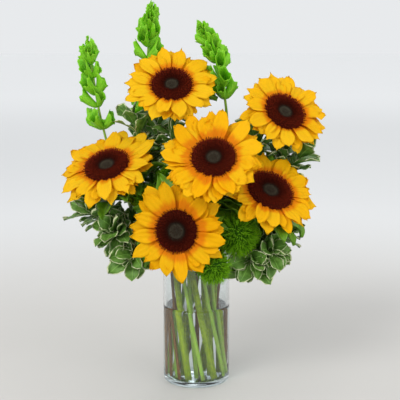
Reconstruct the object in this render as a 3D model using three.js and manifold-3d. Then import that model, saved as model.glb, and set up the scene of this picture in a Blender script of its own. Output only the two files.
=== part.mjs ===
// Sunflowers, bells of Ireland, green dianthus and variegated pittosporum in a clear glass cylinder vase.
// Millimetres, +Z up, front towards -Y. The origin is the middle of the vase's foot.
import * as THREE from "three";
import { mergeVertices } from "three/addons/utils/BufferGeometryUtils.js";
import Module from "manifold-3d";

const wasm = await Module();
wasm.setup();

// ---------------------------------------------------------------- driving dimensions

const GAP = 0.3; // between pieces that touch
const WELD = 1e-4; // corners closer than this are one corner
const UP = new THREE.Vector3(0, 0, 1);

const VASE = {
  radius: 50,
  wall: 4,
  floor: 8,
  height: 200,
  bevel: 2,
  lip: 1,
  sides: 28,
};
const WATER_LEVEL = 118;
const HOLE_CLEARANCE = 0.4; // round a stem in the water
const FOOT_HEIGHT = VASE.floor + GAP; // where the cut stems stand
const NECK_HEIGHT = VASE.height - 4; // where the stems leave the vase
const STEM_TWIST = THREE.MathUtils.degToRad(62); // the stems cross as in a hand-tied bunch
const STEM_SPREAD = 0.95; // radius at the floor over radius at the neck

// Where the seeded draws of a kind of repeat start, and how many each plant has to itself.
const ITEMS = {
  petal: [0, 100],
  bract: [1000, 100],
  bell: [2000, 200],
  needle: [3000, 200],
  leaf: [5000, 200],
};

// In each `vary`, how far a repeat strays from the plain value: degrees for rises, bends, leans and twists,
// a part of the space between two neighbours for azimuths, and a part of the plain value for the others.
const PETAL = {
  layers: 2,
  perLayer: 12,
  thickness: 1.4,
  layerLift: 0.85,
  layerRise: [-5, 9],
  innerLength: 0.94,
  bend: -8,
  cup: 0.06,
  sharedRoot: 0.5,
  tipWidth: 0.2,
  stations: [0.4, 0.78],
  widths: [0.9, 0.95],
  vary: { azimuth: 0.32, rise: 4, length: 0.11, width: 0.12, bend: 12, sway: 0.1, twist: 14 },
};
const RING = { root: 0.82, inner: 0.76, outer: 0.95, half: 1.5, sides: 12 };
// Each ring is its radius over the disc's, its height over the seat, and its share of the relief.
const DISC = {
  sides: 16,
  seat: 1.8,
  relief: 0.9,
  tooth: 1.1,
  rings: [
    [0.9, 0, 0],
    [1, 3, 0],
    [0.84, 6.4, 1],
    [0.6, 6.6, 1],
    [0.36, 4.2, 0.6],
  ],
  toothedRing: 1,
  eye: 4.6,
};
// The cup's outline is given as radius over the disc's, and height over the head's plane.
const CALYX = {
  sides: 9,
  depth: 15,
  cup: [
    [0, -18],
    [0.155, -17],
    [0.55, -10.8],
    [0.88, -3.8],
    [0.86, -1.8],
    [0, -1.8],
  ],
};
const BRACT = {
  count: 8,
  length: 28,
  width: 10,
  thickness: 1.2,
  root: 0.6,
  height: -4.2,
  riseRoot: -32,
  riseTip: 4,
  cup: 0.05,
  stations: [0.45],
  widths: [1],
  vary: { length: 0.15, rise: 10, sway: 0.1, azimuth: 0.3 },
};
const SUNFLOWER_STEM = { foot: 4.6, top: 4, sides: 6, steps: 7 };

// What each sunflower tries, in this order, until a petal is clear of its neighbours:
// degrees added to the rise of its tip, sideways bend, and the part of its length that is kept.
const PETAL_TRIES = [
  [0, 0, 1],
  [7, 0, 1],
  [-7, 0, 1],
  [14, 0, 1],
  [-14, 0, 1],
  [22, 0.1, 1],
  [-22, 0.1, 1],
  [22, -0.1, 1],
  [-22, -0.1, 1],
  [32, 0, 1],
  [-32, 0, 1],
  [44, 0, 1],
  [0, 0, 0.8],
  [14, 0, 0.8],
  [-14, 0, 0.8],
  [30, 0, 0.8],
  [-30, 0, 0.8],
  [50, 0, 0.8],
  [0, 0, 0.62],
  [40, 0, 0.62],
];

// centre and facing of the disc; radius of the disc and of the whole head; width and rise of a petal,
// with the rise growing by `swing` towards the azimuth `swingAt` (degrees in the head's own plane).
const SUNFLOWERS = [
  {
    name: "sunflower_centre",
    centre: [24.6, -90, 352],
    facing: [-0.03, -0.77, 0.64],
    disc: 31,
    head: 77,
    width: 16.5,
    rise: 12,
    swing: 4,
    swingAt: 180,
    neck: [10, -14],
    lift: 70,
    pull: 45,
  },
  {
    name: "sunflower_right",
    centre: [105, -60, 300],
    facing: [0.3, -0.6, 0.74],
    disc: 34,
    head: 72,
    width: 15.5,
    rise: 10,
    swing: 10,
    swingAt: 90,
    neck: [28, -14],
    lift: 45,
    pull: 40,
  },
  {
    name: "sunflower_front",
    centre: [-26.6, -95, 250],
    facing: [-0.24, -0.97, 0.11],
    disc: 30,
    head: 73,
    width: 15,
    rise: 8,
    swing: 4,
    swingAt: 200,
    neck: [-10, -34],
    lift: 22,
    pull: 24,
  },
  {
    name: "sunflower_left",
    centre: [-129, -30, 332],
    facing: [-0.21, -0.52, 0.83],
    disc: 33,
    head: 78,
    width: 17,
    rise: 2,
    swing: 18,
    swingAt: 10,
    neck: [-34, -6],
    lift: 50,
    pull: 50,
  },
  {
    name: "sunflower_top",
    centre: [-36, 10, 446],
    facing: [0, -0.72, 0.69],
    disc: 30,
    head: 70,
    width: 15,
    rise: 8,
    swing: 8,
    swingAt: 200,
    neck: [-8, 12],
    lift: 100,
    pull: 60,
  },
  {
    name: "sunflower_upper_right",
    centre: [129, 0, 407],
    facing: [0.32, -0.68, 0.66],
    disc: 31,
    head: 68,
    width: 16,
    rise: 10,
    swing: 8,
    swingAt: 60,
    neck: [28, 10],
    lift: 80,
    pull: 60,
  },
];

const BELL_STEM = { foot: 3.2, top: 1.3, sides: 5, steps: 9 };
// A cup leans out by `tipLean` at the very tip and by a degree more with each millimetre, up to `lean`.
const BELL = {
  sides: 5,
  wall: 1,
  hollow: 0.3,
  cups: 3,
  tipLean: 16,
  lean: 44,
  tilt: 14,
  sharedRoot: 1,
  vary: { lean: 7, angle: 0.15, size: 0.1 },
};
// What a cup tries until it is clear of its neighbours: turn about the stem in degrees, and size kept.
const BELL_TRIES = [
  [0, 1],
  [18, 1],
  [-18, 1],
  [36, 1],
  [-36, 1],
  [0, 0.8],
  [24, 0.8],
  [-24, 0.8],
];
// For each whorl, counted down from the tip: distance from the tip, length and mouth radius of its cups.
const BELL_TIP_WHORLS = [
  [6, 11, 4.5],
  [20, 16, 8],
  [40, 20, 10],
];
const BELL_SPIKES = [
  {
    name: "bells_left",
    tip: [-163.4, 50, 514],
    arrive: [-0.12, 0.015, 0.99],
    neck: [-27, 14],
    leave: [-0.75, 0.2, 0.63],
    lift: 110,
    pull: 200,
    whorls: [
      [86, 21, 10.5],
      [104, 21, 10.5],
      [138, 21, 10.5],
    ],
  },
  {
    name: "bells_middle",
    tip: [-66.7, 70, 566],
    arrive: [0.104, 0.02, 0.99],
    neck: [-14, 30],
    leave: [-0.55, 0.2, 0.8],
    lift: 120,
    pull: 200,
    whorls: [
      [66, 21, 10.5],
      [86, 21, 10.5],
      [186, 21, 10.5],
    ],
  },
  {
    name: "bells_right",
    tip: [2.6, 40, 538],
    arrive: [-0.52, 0, 0.85],
    neck: [9, 30],
    leave: [0.39, 0, 0.92],
    lift: 146,
    pull: 100,
    whorls: [
      [66, 21, 10.5],
      [104, 21, 10.5],
      [122, 20, 10],
    ],
  },
];

const DIANTHUS_STEM = { foot: 2.8, top: 2.2, sides: 5, steps: 6 };
const DIANTHUS = {
  core: 0.68,
  needleWidth: 2.4,
  sink: 3,
  vary: { direction: 0.12, reach: 0.1 },
};
// The parts of its length that a needle tries until it is clear of its neighbours.
const NEEDLE_TRIES = [[1], [0.84], [0.7]];
const DIANTHUS_BALLS = [
  {
    name: "dianthus_right",
    centre: [58, -66, 240],
    arrive: [0.55, -0.6, 0.55],
    radius: 36,
    needles: 54,
    neck: [20, -31],
    lift: 22,
    pull: 14,
  },
  {
    name: "dianthus_front",
    centre: [24, -88, 197],
    arrive: [0.05, -0.85, -0.5],
    radius: 28,
    needles: 34,
    neck: [6, -40],
    lift: 22,
    pull: 14,
  },
  {
    name: "dianthus_left",
    centre: [-66, -34, 284],
    arrive: [-0.5, -0.3, 0.8],
    radius: 25,
    needles: 22,
    neck: [-24, -24],
    lift: 30,
    pull: 20,
  },
  {
    name: "dianthus_inner",
    centre: [-38, -22, 312],
    arrive: [-0.2, -0.2, 1],
    radius: 25,
    needles: 22,
    neck: [-14, -8],
    lift: 40,
    pull: 30,
  },
];

const TWIG = { foot: 2.4, top: 1.2, sides: 4, steps: 6 };
const SHOOT = { foot: 1.3, top: 1, steps: 3, upturn: 0.25 };
// Leaves sit on a twig from the part `first` of its length to `last`. They lean out by `lean`, less
// `leanDrop` towards the tip, where the last one leans by `endLean`.
const LEAF = {
  thickness: 1.3,
  stations: [0.42, 0.76],
  widths: [0.78, 0.92],
  wave: 0.07,
  cup: 0.08,
  length: [30, 46],
  slimness: 0.45,
  first: 0.45,
  last: 0.995,
  lean: 58,
  leanDrop: 18,
  endLean: 12,
  startTurns: 7,
  faceInward: 0.4,
  riseRoot: 12,
  riseTip: -22,
  sharedRoot: 0.6,
  itemsPerShoot: 20,
  vary: { lean: 8, rise: 16, sway: 0.08, twist: 24 },
};
// What a leaf tries until it is clear of its neighbours: turn about its twig in degrees, and length kept.
const LEAF_TRIES = [
  [0, 1],
  [28, 1],
  [-28, 1],
  [56, 1],
  [-56, 1],
  [90, 1],
  [-90, 1],
  [0, 0.75],
  [40, 0.75],
  [-40, 0.75],
  [140, 0.75],
  [180, 1],
];
// Each leafy stem has its own tip and some side shoots, which leave it at the part `at` of its free length.
const PITTOSPORUMS = [
  {
    name: "pittosporum_left",
    tip: [-148, -18, 258],
    neck: [-40, 6],
    lift: 24,
    pull: 60,
    leaves: 5,
    shoots: [
      { at: 0.3, tip: [-90, -44, 204], leaves: 4 },
      { at: 0.5, tip: [-116, -38, 236], leaves: 4 },
      { at: 0.4, tip: [-122, 10, 244], leaves: 4 },
    ],
  },
  {
    name: "pittosporum_right",
    tip: [122, -26, 228],
    neck: [39, -5],
    lift: 20,
    pull: 50,
    leaves: 4,
    shoots: [
      { at: 0.3, tip: [80, -52, 196], leaves: 4 },
      { at: 0.5, tip: [104, -44, 208], leaves: 4 },
      { at: 0.4, tip: [112, 10, 216], leaves: 3 },
    ],
  },
  {
    name: "pittosporum_upper_left",
    tip: [-92, 14, 388],
    neck: [-29, 23],
    leave: [-0.3, 0, 0.95],
    lift: 70,
    pull: 60,
    leaves: 4,
    shoots: [
      { at: 0.6, tip: [-56, 22, 392], leaves: 3 },
      { at: 0.4, tip: [-78, 28, 338], leaves: 3 },
    ],
  },
  {
    name: "pittosporum_upper_right",
    tip: [152, 4, 338],
    neck: [37, 16],
    leave: [0.3, 0, 0.95],
    lift: 50,
    pull: 60,
    leaves: 4,
    shoots: [
      { at: 0.5, tip: [88, 16, 366], leaves: 3 },
      { at: 0.6, tip: [136, 22, 348], leaves: 3 },
    ],
  },
  {
    name: "pittosporum_centre",
    tip: [-34, -8, 372],
    neck: [0, -2],
    lift: 60,
    pull: 50,
    leaves: 4,
    shoots: [
      { at: 0.4, tip: [22, -28, 306], leaves: 3 },
      { at: 0.5, tip: [-24, -46, 340], leaves: 3 },
    ],
  },
  {
    name: "pittosporum_back_left",
    tip: [-98, 82, 296],
    neck: [-24, 33],
    leave: [-0.3, 0.3, 0.9],
    lift: 40,
    pull: 50,
    leaves: 4,
    shoots: [
      { at: 0.5, tip: [-44, 100, 320], leaves: 4 },
      { at: 0.35, tip: [-80, 78, 236], leaves: 3 },
    ],
  },
  {
    name: "pittosporum_back_right",
    tip: [86, 84, 312],
    neck: [26, 31],
    leave: [0.3, 0.3, 0.9],
    lift: 40,
    pull: 50,
    leaves: 4,
    shoots: [
      { at: 0.5, tip: [26, 100, 328], leaves: 4 },
      { at: 0.35, tip: [88, 66, 240], leaves: 3 },
    ],
  },
];

// ---------------------------------------------------------------- materials

const surface = (color, roughness, extra = {}) =>
  new THREE.MeshStandardMaterial({ color, roughness, metalness: 0, ...extra });

const MATERIALS = {
  glass: surface(0xd7e2e0, 0.04, { transparent: true, opacity: 0.35 }),
  water: surface(0xe4ecea, 0.02, { transparent: true, opacity: 0.35 }),
  petals: surface(0xf4b402, 0.55),
  disc: surface(0x4b140c, 0.85),
  stem: surface(0x5f8a34, 0.5),
  bells: surface(0x5fae1d, 0.5),
  dianthus: surface(0x3c7312, 0.7),
  pittosporum: surface(0x47693a, 0.4),
};

// ---------------------------------------------------------------- geometry helpers

const GOLDEN_ANGLE = Math.PI * (3 - Math.sqrt(5));
const vector = (triple) => new THREE.Vector3(...triple);
const radians = THREE.MathUtils.degToRad;

// A seeded draw between 0 and 1 for the item and the property numbered by `item` and `property`.
function draw(item, property) {
  const wave = Math.sin(item * 12.9898 + property * 78.233) * 43758.5453;
  return wave - Math.floor(wave);
}

// A seeded draw between -1 and 1.
const spread = (item, property) => 2 * draw(item, property) - 1;

// The first item of a plant's repeats of one kind.
const firstItem = (kind, number) => ITEMS[kind][0] + ITEMS[kind][1] * number;

function geometryOfCorners(points, faces) {
  const geometry = new THREE.BufferGeometry();
  const values = points.flatMap((point) => point.toArray());
  geometry.setAttribute("position", new THREE.Float32BufferAttribute(values, 3));
  geometry.setIndex(faces.flat());
  return geometry;
}

function solidOf(geometry) {
  geometry.deleteAttribute("normal");
  geometry.deleteAttribute("uv");
  const merged = mergeVertices(geometry, WELD);
  const mesh = new wasm.Mesh({
    numProp: 3,
    vertProperties: merged.attributes.position.array,
    triVerts: new Uint32Array(merged.index.array),
  });
  return new wasm.Manifold(mesh);
}

function geometryOf(solid) {
  const mesh = solid.getMesh();
  const geometry = new THREE.BufferGeometry();
  geometry.setAttribute("position", new THREE.BufferAttribute(new Float32Array(mesh.vertProperties), 3));
  geometry.setIndex(new THREE.BufferAttribute(new Uint32Array(mesh.triVerts), 1));
  const flat = geometry.toNonIndexed();
  flat.computeVertexNormals();
  return flat;
}

// Joins solids into one body: loose scraps are dropped and sealed hollows are filled.
function fuse(solids) {
  const joined = solids.reduce((whole, solid) => whole.add(solid));
  const bodies = joined.decompose();
  return bodies.reduce((largest, body) => (body.volume() > largest.volume() ? body : largest));
}

// A solid of revolution about Z. Each point of the profile is [radius, height]; it starts and ends on the
// axis or closes on itself.
function turned(profile, sides) {
  const points = profile.map(([radius, height]) => new THREE.Vector2(radius, height));
  const lathe = new THREE.LatheGeometry(points, sides);
  return solidOf(lathe.rotateX(Math.PI / 2));
}

// A closed tube through the points, with a radius at each of them.
function tube(points, radii, sides) {
  const corners = [];
  const faces = [];
  const last = points.length - 1;
  const tangent = new THREE.Vector3();
  const side = new THREE.Vector3(1, 0, 0);
  points.forEach((point, i) => {
    tangent.subVectors(points[Math.min(i + 1, last)], points[Math.max(i - 1, 0)]).normalize();
    side.addScaledVector(tangent, -side.dot(tangent)).normalize();
    const other = new THREE.Vector3().crossVectors(tangent, side);
    for (let k = 0; k < sides; k++) {
      const angle = (2 * Math.PI * k) / sides;
      const out = side.clone().multiplyScalar(Math.cos(angle)).addScaledVector(other, Math.sin(angle));
      corners.push(point.clone().addScaledVector(out, radii[i]));
    }
  });
  for (let i = 0; i < last; i++) {
    for (let k = 0; k < sides; k++) {
      const a = i * sides + k;
      const b = i * sides + ((k + 1) % sides);
      faces.push([a, b, b + sides], [a, b + sides, a + sides]);
    }
  }
  const end = last * sides;
  for (let k = 1; k < sides - 1; k++) {
    faces.push([0, k + 1, k], [end, end + k, end + k + 1]);
  }
  return solidOf(geometryOfCorners(corners, faces));
}

// A blade from its root, one corner, through rows of four corners (left edge, crest, right edge, keel) to
// its tip, which is one corner or an edge of two. Both faces are split into triangles alike.
function blade(root, rows, tip) {
  const corners = [...rows.flat(), root, ...tip];
  const start = 4 * rows.length;
  const faces = [];
  for (let k = 0; k < 4; k++) {
    const next = (k + 1) % 4;
    faces.push([start, next, k]);
    for (let i = 0; i + 1 < rows.length; i++) {
      const a = 4 * i + k;
      const b = 4 * i + next;
      if (k % 2) faces.push([a, b, a + 4], [b, b + 4, a + 4]);
      else faces.push([a, b, b + 4], [a, b + 4, a + 4]);
    }
  }
  const end = start - 4;
  const left = start + 1;
  const right = start + tip.length;
  faces.push([end, end + 1, left], [end + 1, end + 2, right]);
  faces.push([end + 2, end + 3, right], [end + 3, end, left]);
  if (right > left) faces.push([end + 1, right, left], [end + 3, left, right]);
  return geometryOfCorners(corners, faces);
}

// The middle line of a blade at the part t of its length, in its own frame: Y runs out from the root, Z is
// its upper side. Its slope goes evenly from riseRoot to riseTip (radians), and it sways as t squared.
function bladeMiddle({ length, riseRoot, riseTip, sway }, t) {
  const turn = riseTip - riseRoot;
  const slope = riseRoot + turn * t;
  const bent = Math.abs(turn) > 1e-4;
  const out = bent ? (Math.sin(slope) - Math.sin(riseRoot)) / turn : t * Math.cos(riseRoot);
  const up = bent ? (Math.cos(riseRoot) - Math.cos(slope)) / turn : t * Math.sin(riseRoot);
  return { point: new THREE.Vector3(length * sway * t * t, length * out, length * up), slope };
}

// A blade in its own frame. `widths` are its widths at the `stations`, over its full width; `cup` lifts its
// edges, `wave` bends them up and down in turn, and `twist` (radians) turns it evenly about its middle line.
function bladeSolid(form, place) {
  const { stations, widths, width, thickness, twist, cup, tipWidth, wave = 0 } = form;
  const section = (t, w, waved) => {
    const { point, slope } = bladeMiddle(form, t);
    const tangent = new THREE.Vector3(0, Math.cos(slope), Math.sin(slope));
    const across = new THREE.Vector3(1, 0, 0).applyAxisAngle(tangent, -twist * t);
    const upper = new THREE.Vector3().crossVectors(across, tangent);
    const corner = (sideways, raised) =>
      point.clone().addScaledVector(across, sideways * w).addScaledVector(upper, raised);
    return [
      corner(-0.5, cup * w + waved),
      corner(0, thickness / 2),
      corner(0.5, cup * w - waved),
      corner(0, -thickness / 2),
    ];
  };
  const rows = stations.map((t, i) => section(t, widths[i] * width, (i % 2 ? -wave : wave) * width));
  const { point: root } = bladeMiddle(form, 0);
  const [left, , right] = section(1, tipWidth * width, 0);
  return solidOf(blade(root, rows, tipWidth ? [left, right] : [left]).applyMatrix4(place));
}

// The frame of a blade: its root, the way out from it, and the side that is its upper one.
function bladePlace(root, out, upper) {
  const y = out.clone().normalize();
  const z = upper.clone().addScaledVector(y, -upper.dot(y)).normalize();
  const x = new THREE.Vector3().crossVectors(y, z);
  return new THREE.Matrix4().makeBasis(x, y, z).setPosition(root);
}

// ---------------------------------------------------------------- what is already in place

const placed = [];

function keep(name, solid, material) {
  placed.push({ name, solid, material });
}

const pieceNamed = (wanted) => placed.find(({ name }) => name === wanted);

function boxesApart(one, other) {
  const [a, b] = [one.boundingBox(), other.boundingBox()];
  return [0, 1, 2].some((k) => a.min[k] > b.max[k] + GAP || a.max[k] < b.min[k] - GAP);
}

// Whether a solid stays GAP away from every placed piece but its own.
function isClear(solid, own) {
  return placed.every(({ name, solid: other }) => {
    return name === own || boxesApart(solid, other) || solid.minGap(other, 2 * GAP) >= GAP;
  });
}

// Whether a solid shares no more than a root's volume with each sibling of the same piece.
function standsFree(solid, siblings, sharedRoot) {
  return siblings.every((other) => boxesApart(solid, other) || solid.intersect(other).volume() <= sharedRoot);
}

// Grows a repeat onto a piece: the first of the tries that is clear of other pieces and stands free of its
// siblings, or else the first that is clear, or else none.
function grow(siblings, own, tries, sharedRoot, make) {
  let second = null;
  for (const attempt of tries) {
    const solid = make(...attempt);
    if (isClear(solid, own)) {
      if (standsFree(solid, siblings, sharedRoot)) {
        siblings.push(solid);
        return;
      }
      second = second || solid;
    }
  }
  if (second) siblings.push(second);
}

// ---------------------------------------------------------------- vase and water

function vase() {
  const { radius, wall, floor, height, bevel, lip, sides } = VASE;
  const inner = radius - wall;
  const footRadius = radius - 3 * bevel;
  return turned(
    [
      [0, 0],
      [footRadius, 0],
      [radius - bevel, bevel],
      [radius, 3 * bevel],
      [radius, height - lip],
      [radius - wall / 3, height],
      [inner + wall / 3, height],
      [inner, height - lip],
      [inner, floor + bevel],
      [inner - 2 * bevel, floor],
      [0, floor],
    ],
    sides,
  );
}

function water(holes) {
  const radius = VASE.radius - VASE.wall - GAP;
  const { bevel } = VASE;
  const full = turned(
    [
      [0, FOOT_HEIGHT],
      [radius - 2 * bevel - GAP, FOOT_HEIGHT],
      [radius, FOOT_HEIGHT + bevel + GAP],
      [radius, WATER_LEVEL],
      [0, WATER_LEVEL],
    ],
    VASE.sides,
  );
  return fuse([holes.reduce((left, hole) => left.subtract(hole), full)]);
}

// ---------------------------------------------------------------- stems

// The foot of the stem that leaves the vase at `neck`: turned about the axis, so that straight stems pass
// each other between the neck and the floor without touching.
function stemFoot([x, y]) {
  const foot = new THREE.Vector3(x, y, 0).applyAxisAngle(UP, STEM_TWIST).multiplyScalar(STEM_SPREAD);
  return foot.setZ(FOOT_HEIGHT);
}

// The free part of a stem, from the neck to `end`, where it arrives along `arrive`. It leaves the neck as it
// stands in the vase, or bends over the rim along `leave`.
function freeCurve({ neck, leave, lift, pull }, end, arrive) {
  const start = new THREE.Vector3(...neck, NECK_HEIGHT);
  const along = leave ? vector(leave) : start.clone().sub(stemFoot(neck));
  const before = end.clone().addScaledVector(arrive, -pull);
  const after = start.clone().addScaledVector(along.normalize(), lift);
  return new THREE.CubicBezierCurve3(start, after, before, end);
}

// All the points of a stem. Its cut end stands on the floor, raised by what its slant would take below.
function stemPoints(plant, radius, end, arrive, steps) {
  const foot = stemFoot(plant.neck);
  const neck = new THREE.Vector3(...plant.neck, NECK_HEIGHT);
  const slant = neck.clone().sub(foot).normalize();
  foot.addScaledVector(slant, (radius * Math.hypot(slant.x, slant.y)) / slant.z);
  return [foot, ...freeCurve(plant, end, arrive).getPoints(steps)];
}

const taper = (points, foot, top) => points.map((_, i) => foot + ((top - foot) * i) / (points.length - 1));

const waterHoles = [];

// A tapering stem; its hole in the water is kept for later.
function stem(plant, form, end, arrive) {
  const points = stemPoints(plant, form.foot, end, arrive, form.steps);
  const radii = taper(points, form.foot, form.top);
  const straight = points[1].clone().sub(points[0]).normalize();
  const below = points[0].clone().addScaledVector(straight, -2 * form.foot);
  const holeRadii = radii.slice(0, 2).map((radius) => radius + HOLE_CLEARANCE);
  waterHoles.push(tube([below, points[1]], holeRadii, form.sides));
  return tube(points, radii, form.sides);
}

// ---------------------------------------------------------------- sunflowers

// The head's own frame: Z faces out of the disc, X lies level to the right.
function headFrame({ centre, facing }) {
  const z = vector(facing).normalize();
  const x = new THREE.Vector3().crossVectors(UP, z).normalize();
  const y = new THREE.Vector3().crossVectors(z, x);
  return new THREE.Matrix4().makeBasis(x, y, z).setPosition(vector(centre));
}

// A blade's place on the head: at an azimuth, a radius and a height over the head's plane.
function onHead(frame, azimuth, radius, height) {
  const out = new THREE.Vector3(Math.cos(azimuth), Math.sin(azimuth), 0);
  const root = out.clone().multiplyScalar(radius).setZ(height);
  return frame.clone().multiply(bladePlace(root, out, UP));
}

function moved(solid, matrix) {
  return solid.transform(matrix.elements);
}

// The disc: a low dome with a sunken eye, whose florets are raised points in a net of rings, and whose rim is
// toothed where the outer florets hang over the petals.
function sunflowerDisc(flower) {
  const { sides, seat, relief, tooth, rings, toothedRing, eye } = DISC;
  const corners = [];
  const faces = [];
  rings.forEach(([part, height, share], ring) => {
    for (let k = 0; k < sides; k++) {
      const angle = (2 * Math.PI * (k + (ring % 2) / 2)) / sides;
      const odd = k % 2 ? 1 : -1;
      const radius = flower.disc * part + (ring === toothedRing ? odd * tooth : 0);
      const z = seat + height + odd * share * relief;
      corners.push(new THREE.Vector3(radius * Math.cos(angle), radius * Math.sin(angle), z));
    }
  });
  for (let ring = 0; ring + 1 < rings.length; ring++) {
    for (let k = 0; k < sides; k++) {
      const next = (k + 1) % sides;
      const [a, b] = [ring * sides + k, ring * sides + next];
      const [c, d] = [a + sides, b + sides];
      if (ring % 2) faces.push([a, b, d], [a, d, c]);
      else faces.push([a, b, c], [b, d, c]);
    }
  }
  const under = corners.push(new THREE.Vector3(0, 0, seat)) - 1;
  const top = corners.push(new THREE.Vector3(0, 0, seat + eye)) - 1;
  const inner = (rings.length - 1) * sides;
  for (let k = 0; k < sides; k++) {
    const next = (k + 1) % sides;
    faces.push([under, next, k], [top, inner + k, inner + next]);
  }
  return moved(solidOf(geometryOfCorners(corners, faces)), headFrame(flower));
}

// Stem, cup and pointed bracts of the calyx behind the petals.
function sunflowerStem(flower, number) {
  const { vary } = BRACT;
  const frame = headFrame(flower);
  const outline = CALYX.cup.map(([part, height]) => [flower.disc * part, height]);
  const cup = moved(turned(outline, CALYX.sides), frame);
  const facing = vector(flower.facing).normalize();
  const end = vector(flower.centre).addScaledVector(facing, -CALYX.depth);
  const bracts = [...Array(BRACT.count).keys()].map((k) => {
    const item = firstItem("bract", number) + k;
    const form = {
      ...BRACT,
      length: BRACT.length * (1 + vary.length * spread(item, 1)),
      tipWidth: 0,
      riseRoot: radians(BRACT.riseRoot),
      riseTip: radians(BRACT.riseTip + vary.rise * spread(item, 2)),
      sway: vary.sway * spread(item, 3),
      twist: 0,
    };
    const azimuth = (2 * Math.PI * (k + vary.azimuth * spread(item, 4))) / BRACT.count;
    return bladeSolid(form, onHead(frame, azimuth, flower.disc * BRACT.root, BRACT.height));
  });
  return fuse([stem(flower, SUNFLOWER_STEM, end, facing), cup, ...bracts]);
}

// The ring under the disc's rim that carries the petals.
function petalRing(flower) {
  const { inner, outer, half, sides } = RING;
  const profile = [
    [flower.disc * inner, -half],
    [flower.disc * outer, -half],
    [flower.disc * outer, half],
    [flower.disc * inner, half],
    [flower.disc * inner, -half],
  ];
  return moved(turned(profile, sides), headFrame(flower));
}

// One petal of a head: its form and azimuth come from seeded draws, its rise from the head's swing.
function petalForm(flower, number, k) {
  const { vary } = PETAL;
  const item = firstItem("petal", number) + k;
  const layer = k % PETAL.layers;
  const azimuth = (2 * Math.PI * (k + vary.azimuth * spread(item, 1))) / (PETAL.layers * PETAL.perLayer);
  const swing = flower.swing * Math.cos(azimuth - radians(flower.swingAt));
  const root = flower.disc * RING.root;
  const full = (flower.head - root) * (layer ? PETAL.innerLength : 1);
  return {
    azimuth,
    root,
    height: (layer ? 1 : -1) * PETAL.layerLift,
    rise: flower.rise + swing + PETAL.layerRise[layer] + vary.rise * spread(item, 2),
    length: full * (1 + vary.length * spread(item, 3)),
    width: flower.width * (1 + vary.width * spread(item, 4)),
    bend: PETAL.bend + vary.bend * spread(item, 5),
    sway: vary.sway * spread(item, 6),
    twist: radians(vary.twist * spread(item, 7)),
  };
}

function petalSolid(flower, petal, lift, side, part) {
  const form = {
    ...PETAL,
    ...petal,
    length: petal.length * part,
    riseRoot: radians(Math.max(petal.rise + lift / 2, 0)),
    riseTip: radians(petal.rise + petal.bend + lift),
    sway: petal.sway + side,
  };
  return bladeSolid(form, onHead(headFrame(flower), petal.azimuth, petal.root, petal.height));
}

function sunflowerPetals(flower, number) {
  const name = flower.name + "_petals";
  const petals = [];
  for (let k = 0; k < PETAL.layers * PETAL.perLayer; k++) {
    const petal = petalForm(flower, number, k);
    const make = (lift, side, part) => petalSolid(flower, petal, lift, side, part);
    grow(petals, name, PETAL_TRIES, PETAL.sharedRoot, make);
  }
  return fuse([pieceNamed(name).solid, ...petals]);
}

// ---------------------------------------------------------------- bells of Ireland

// One cup: a thin-walled cone of five sides from a point on the stem, open outwards and upwards.
function bellCup(root, out, upper, length, mouth) {
  const place = bladePlace(root, out, upper);
  const { sides, wall, tilt } = BELL;
  const slope = Math.tan(radians(tilt));
  const corners = [new THREE.Vector3(0, 0, 0), new THREE.Vector3(0, length * BELL.hollow, 0)];
  const faces = [];
  for (let k = 0; k < sides; k++) {
    const angle = (2 * Math.PI * k) / sides + Math.PI / 2;
    const [x, z] = [Math.cos(angle), Math.sin(angle)];
    corners.push(new THREE.Vector3(mouth * x, length - mouth * z * slope, mouth * z));
    corners.push(new THREE.Vector3((mouth - wall) * x, length - mouth * z * slope, (mouth - wall) * z));
    const a = 2 + 2 * k;
    const b = 2 + 2 * ((k + 1) % sides);
    faces.push([0, a, b], [a, a + 1, b], [a + 1, b + 1, b], [1, b + 1, a + 1]);
  }
  return solidOf(geometryOfCorners(corners, faces).applyMatrix4(place));
}

// The point at a distance before the end of a curve, and the direction there.
function beforeEnd(curve, distance) {
  const t = Math.max(1 - distance / curve.getLength(), 0);
  return { point: curve.getPointAt(t), tangent: curve.getTangentAt(t) };
}

// A direction square to `tangent`, turned by `angle` from the side that lies level.
function around(tangent, angle) {
  const first = new THREE.Vector3().crossVectors(tangent, new THREE.Vector3(0, 1, 0)).normalize();
  return first.applyAxisAngle(tangent, angle);
}

function bellStem(spike) {
  return stem(spike, BELL_STEM, vector(spike.tip), vector(spike.arrive).normalize());
}

function bellSpike(spike, number) {
  const { vary } = BELL;
  const curve = freeCurve(spike, vector(spike.tip), vector(spike.arrive).normalize());
  const cups = [];
  [...BELL_TIP_WHORLS, ...spike.whorls].forEach(([distance, length, mouth], whorl) => {
    const { point, tangent } = beforeEnd(curve, distance);
    for (let k = 0; k < BELL.cups; k++) {
      const item = firstItem("bell", number) + BELL.cups * whorl + k;
      const lean = radians(Math.min(BELL.lean, BELL.tipLean + distance) + vary.lean * spread(item, 1));
      const angle = (2 * Math.PI * (k + (whorl % 2) / 2 + vary.angle * spread(item, 2))) / BELL.cups;
      const size = 1 + vary.size * spread(item, 3);
      grow(cups, spike.name, BELL_TRIES, BELL.sharedRoot, (turn, part) => {
        const radial = around(tangent, angle + radians(turn));
        const out = tangent.clone().multiplyScalar(Math.cos(lean)).addScaledVector(radial, Math.sin(lean));
        return bellCup(point, out, tangent, length * size * part, mouth * size * part);
      });
    }
  });
  return fuse([pieceNamed(spike.name).solid, ...cups]);
}

// ---------------------------------------------------------------- green dianthus

function dianthusStem(ball) {
  const core = new THREE.IcosahedronGeometry(ball.radius * DIANTHUS.core, 1).translate(...ball.centre);
  const stalk = stem(ball, DIANTHUS_STEM, vector(ball.centre), vector(ball.arrive).normalize());
  return fuse([stalk, solidOf(core)]);
}

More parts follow.
